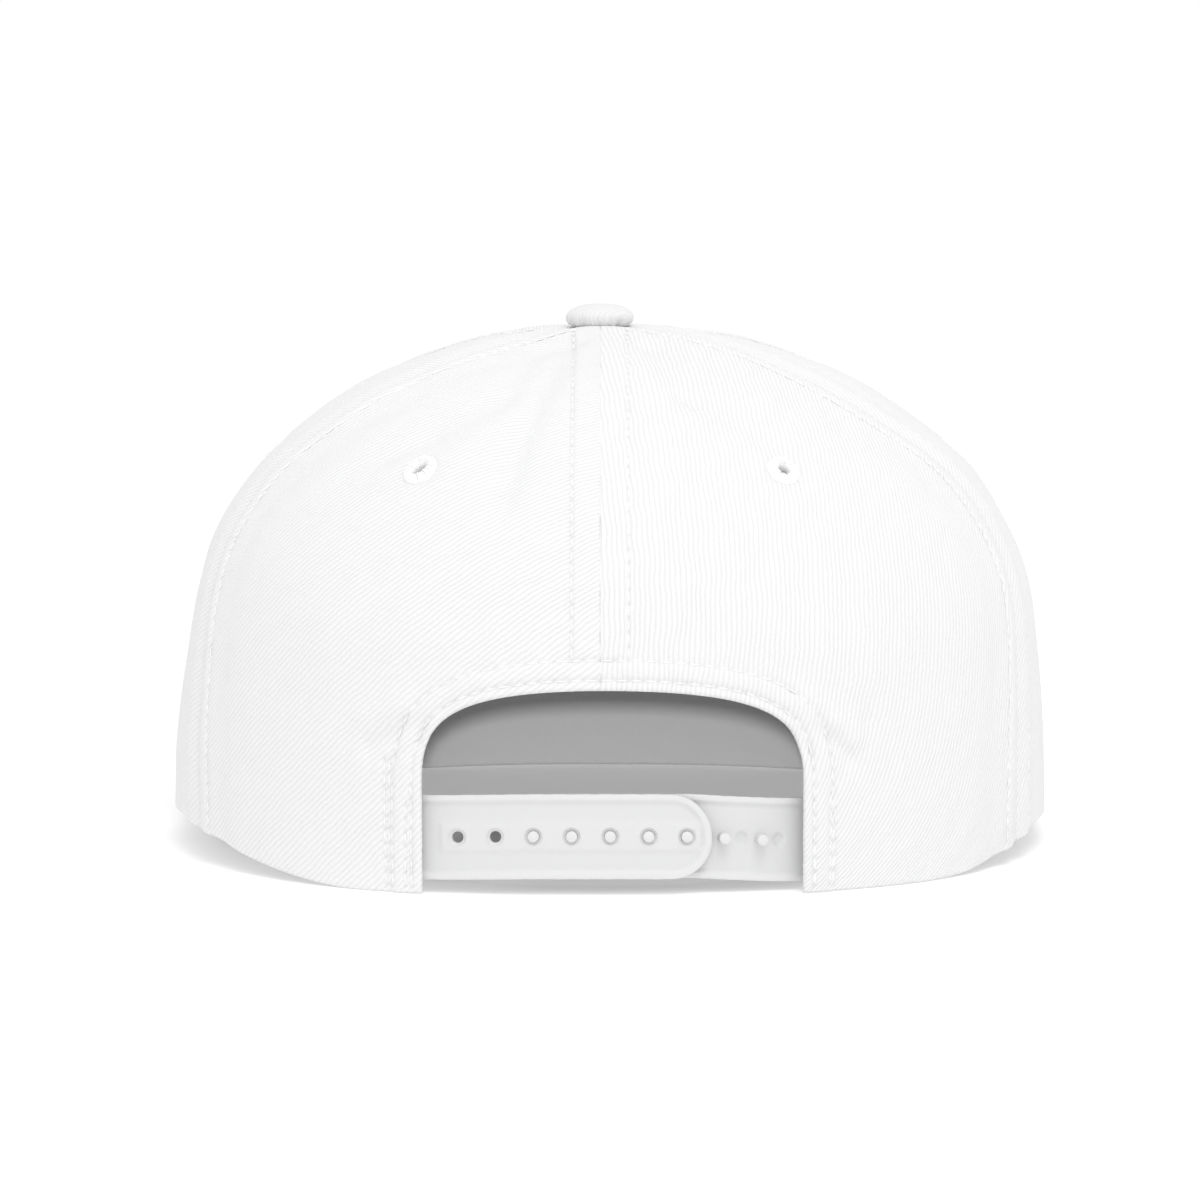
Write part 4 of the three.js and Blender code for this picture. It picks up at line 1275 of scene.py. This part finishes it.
def strap_edge(sewn, end):
    """The strap's outline without its sewn end, laid flat."""
    v = np.r_[np.zeros(500), np.linspace(0, 1, 700), np.ones(500)]
    u = np.r_[np.linspace(0, 1, 500), np.ones(700), np.linspace(1, 0, 500)]
    x, z = strap_grid(sewn, end, u, v)
    return np.stack([x, z, x * 0], -1)


print("snap closure:", SNAP_COUNT, "holes,", SNAP_PITCH / MM, "mm apart")

# %% [markdown]
# The outer strap: the lip, a low rail along the row, a rounded boss at each hole and a small funnel into
# it. Heights are added on the flat strap, which is then bent round the back of the crown.

# %% Outer strap
HOLE_RADIUS = 1.2 * MM
BOSS_RADIUS = 2.05 * MM
FUNNEL_RADIUS = 1.95 * MM
FUNNEL_DEPTH = 0.38 * MM
STRAP_ROUND = 0.3 * MM
LIP_SLOPE = 0.35 * MM


def bent(x, z, inset):
    """A flat strap's points on the back of the crown."""
    turn, climb = back_place(x, z)
    place = crown_point(turn, climb)
    place[:, 2] = z + smooth_between(STRAP_HANG[:, 1], STRAP_HANG[:, 0], x)
    return place - crown_out(turn, climb) * inset[:, None]


def lip_height(to_edge):
    """The rounded rim along the edge."""
    fall = smoothstep(to_edge, STRAP_LIP_WIDTH + LIP_SLOPE, STRAP_LIP_WIDTH - LIP_SLOPE)
    return STRAP_LIP * fall - roll(to_edge, STRAP_ROUND)


def to_nearest(x, z, centres):
    return np.min([np.hypot(x - centre, z - STRAP_MIDDLE) for centre in centres], axis=0)


def strap(name, node, sewn, last, inset, centres, rings, relief, hole=0.0):
    """One half of the closure. relief gives how far its face is raised, and its colour, lighter where it is
    thick and darker with painted shade in its hollows.
    """
    end = last + np.sign(last - sewn) * round(STRAP_TAIL / CELL) * CELL
    columns = round(abs(end - sewn) / CELL)
    sewn = end + np.sign(sewn - end) * columns * CELL  # so that the holes fall on whole cells
    kept = {}

    def flat(u, v):
        return ringed(*strap_grid(sewn, end, u, v), centres, rings)

    def cut(u, v):
        return to_nearest(*flat(u, v), centres) < hole

    def lay_strap(u, v, wall):
        x, z = flat(u, v)
        to_edge = distance_to(np.stack([x, z, x * 0], -1), strap_edge(sewn, end))
        proud, kept["raised"] = relief(x, z, lip_height(to_edge), to_edge < STRAP_LIP_WIDTH)
        back = STRAP_LIP + STRAP_THICKNESS - roll(to_edge, STRAP_ROUND)
        return bent(x, z, inset + np.where(wall > 0.5, back, STRAP_LIP - proud))

    bm = sheet(columns, STRAP_ROWS, lay_strap, cut if hole else None)
    return piece(name, bm, snap_plastic, [node], attributes=kept, sharp=40)


def outer_relief(x, z, lip, on_lip):
    to_hole = to_nearest(x, z, HOLES)
    along = np.minimum(x - HOLES[-1] + RAIL_OVERHANG["free"], HOLES[0] + RAIL_OVERHANG["sewn"] - x)
    beside = RAIL_HEIGHT / 2 - abs(z - STRAP_MIDDLE)
    rail = STRAP_LIP * 0.45 * smoothstep(np.minimum(along, beside), -0.15 * MM, 0.2 * MM)
    boss = STRAP_LIP * 0.9 * hump(to_hole - BOSS_RADIUS, 0.34 * MM)
    funnel = FUNNEL_DEPTH * smoothstep(to_hole, FUNNEL_RADIUS, HOLE_RADIUS)
    plate = np.maximum(lip, np.maximum(rail, boss)) - funnel + np.minimum(lip, 0)
    proud = np.where(on_lip, lip, plate)
    # painted shade: darker in a ring round each hole and down each funnel
    painted_hole_ring_shade = 0.45 * smoothstep(to_hole, 2.25 * MM, 1.75 * MM)
    return proud, np.clip(0.35 + 0.5 * proud / STRAP_LIP - painted_hole_ring_shade, 0, 1)


HOLES = [snap_x(i) for i in range(SNAP_COUNT)]
HOLE_RINGS = [(0, 0), (3, HOLE_RADIUS), (4, 1.55 * MM), (5, 1.85 * MM), (6, 2.3 * MM), (8, RING_FREE)]
strap("snap_strap_outer", "strap_holes", OUTER_SEWN_X, HOLES[-1], OUTER_INSET, HOLES, HOLE_RINGS,
      outer_relief, HOLE_RADIUS * 0.97)

# %% [markdown]
# The inner strap has studs that come up through the holes, and shallow dimples between them. A stud is
# a steep step in the same sheet: one ring of cells lies at its foot and the next one on its head.

# %% Inner strap
PEG_RADIUS = 1.15 * MM
PEG_FOOT = 1.16 * MM
PEG_ROUND = 0.28 * MM
PEG_PROUD = 0.3 * MM  # how far a stud stands out of its hole
PEG_HEIGHT = INNER_INSET + STRAP_LIP - (OUTER_INSET - PEG_PROUD)
DIMPLE_RADIUS = 1.2 * MM
DIMPLE_DEPTH = 0.4 * MM


def inner_relief(x, z, lip, on_lip):
    to_peg, to_dimple = to_nearest(x, z, PEGS), to_nearest(x, z, DIMPLES)
    rounding = PEG_ROUND * np.clip(to_peg / PEG_RADIUS, 0, 1) ** 3
    peg = np.where(to_peg < PEG_FOOT, PEG_HEIGHT - rounding, 0)
    dimple = DIMPLE_DEPTH * smoothstep(to_dimple, DIMPLE_RADIUS + 0.2 * MM, DIMPLE_RADIUS - 0.2 * MM)
    proud = np.where(on_lip, lip, lip + peg - dimple)
    # lighter on the studs, painted shade in the dimples
    thick = np.where(to_peg < PEG_FOOT, 2.0, proud / STRAP_LIP)
    return proud, 0.38 + 0.5 * np.clip(thick, -0.8, 1.2)


PEGS = [snap_x(i) for i in range(SNAP_FREE_HOLES, SNAP_FREE_HOLES + SNAP_COUNT)]
DIMPLES = [x - SNAP_PITCH / 2 for x in PEGS]
PEG_RINGS = [
    (0, 0), (1, 0.45 * MM), (2, 0.9 * MM), (3, 1.13 * MM), (4, 1.19 * MM), (6, 2.1 * MM), (8, RING_FREE)]
strap("snap_strap_inner", "strap_pegs", INNER_SEWN_X, PEGS[0], INNER_INSET, PEGS, PEG_RINGS, inner_relief)

# %% [markdown]
# The table is a white sheet that glows with painted light, though it is no lamp: it hardly glows under the
# middle of the crown, which is painted shade, glows more under the rest of the crown and most in a ring
# beside the rim, where it lifts the shadow, and glows evenly on the open table. The room is as white as the
# table. A broad soft light stands high on the right, a small one is beside the lens, and a third one reaches
# the sweatband through the opening.

# %% Table and light
TABLE_SIZE = 6
GLOW_MIDDLE = 0.03  # painted glow: painted shade in the middle of the crown, painted light under it and beside its rim, even glow on the open table
GLOW_UNDER = 0.27
GLOW_RIM = 0.43
GLOW_AROUND = 0.31
MIDDLE_BEHIND = 25 * MM  # how far behind the axis the painted dark middle lies


def painted_glow_at(x, y):
    """How strongly the table glows with painted light at a place, measured from the crown's axis."""
    def step(away, low, high):
        """0 nearer than low, 1 beyond high."""
        share = (away - low) / (high - low)
        return share.math("MINIMUM", share.math("MAXIMUM", share, 0.0), 1.0)

    behind = y - MIDDLE_BEHIND
    # painted shade: the table hardly glows under the middle of the crown
    inner = step((x * x + behind * behind) ** 0.5, 28 * MM, 50 * MM)
    away = (x * x + y * y) ** 0.5
    outer = step(away, 90 * MM, 130 * MM)
    # painted light: a brighter ring beside the rim lifts the shadow under it
    beside = step(away, 78 * MM, 87 * MM) * step(y, -30 * MM, 0.0) * (1 - outer)
    return (
        inner * (GLOW_UNDER - GLOW_MIDDLE) + outer * (GLOW_AROUND - GLOW_UNDER)
        + beside * (GLOW_RIM - GLOW_UNDER) + GLOW_MIDDLE)


def white_table():
    bm = bmesh.new()
    bmesh.ops.create_grid(bm, x_segments=1, y_segments=1, size=TABLE_SIZE)
    mesh = bpy.data.meshes.new("table")
    bm.to_mesh(mesh)
    bm.free()
    paint = Finish("white table")
    place = paint.object_place()
    x, y, _ = paint.split(place)
    glow = painted_glow_at(x - float(AXIS[0]), y - float(AXIS[1]))
    # the emission is painted light: the table is no lamp
    mesh.materials.append(paint.surface(
        Base_Color=paint.colour(paint.noise(place, 0.8, 1.0), 0.69, 0.71), Roughness=1.0,
        Specular_IOR_Level=0.0, Emission_Strength=1.0, Emission_Color=paint.colour(glow, 0.0, 1.0)))
    show("table", mesh)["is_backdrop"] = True


def soft_light(name, place, size, power, only=None):
    """A square lamp that looks at the cap. It may light one piece only."""
    lamp = bpy.data.lights.new(name, "AREA")
    lamp.size = size
    lamp.energy = power
    made = show(name, lamp)
    made.location = place
    made.rotation_euler = (aim - made.location).to_track_quat("-Z", "Y").to_euler()
    if only is not None:
        lit = bpy.data.collections.new(name)
        lit.objects.link(bpy.data.objects[only])
        made.light_linking.receiver_collection = lit


def white_room(strength):
    world = bpy.data.worlds.new("white room")
    world.use_nodes = True
    background = world.node_tree.nodes["Background"].inputs
    background["Color"].default_value = (1, 1, 1, 1)
    background["Strength"].default_value = strength
    bpy.context.scene.world = world
    bpy.context.scene.view_settings.view_transform = "Standard"


white_table()
white_room(1.0)
soft_light("soft light above", Vector((-0.2, 0.66, 1.12)), 0.6, 4.1)
soft_light("soft light beside the lens", Vector((0.02, 1.25, 0.22)), 0.1, 0.68)
soft_light("soft light on the band", Vector((0.005, 0.8, 0.1435)), 0.0156, 3.75, "sweatband_cloth")

# %% [markdown]
# Last, the finished model's box is written beside the box of the plain solids. They should differ only
# by the little that cloth and thread stand proud.

# %% Sizes and finish
visual_box = [list(corner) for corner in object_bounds()]
for label, box in (("solids", cad_box), ("finished", visual_box)):
    print(label, [[round(value / MM, 1) for value in corner] for corner in box], "mm")
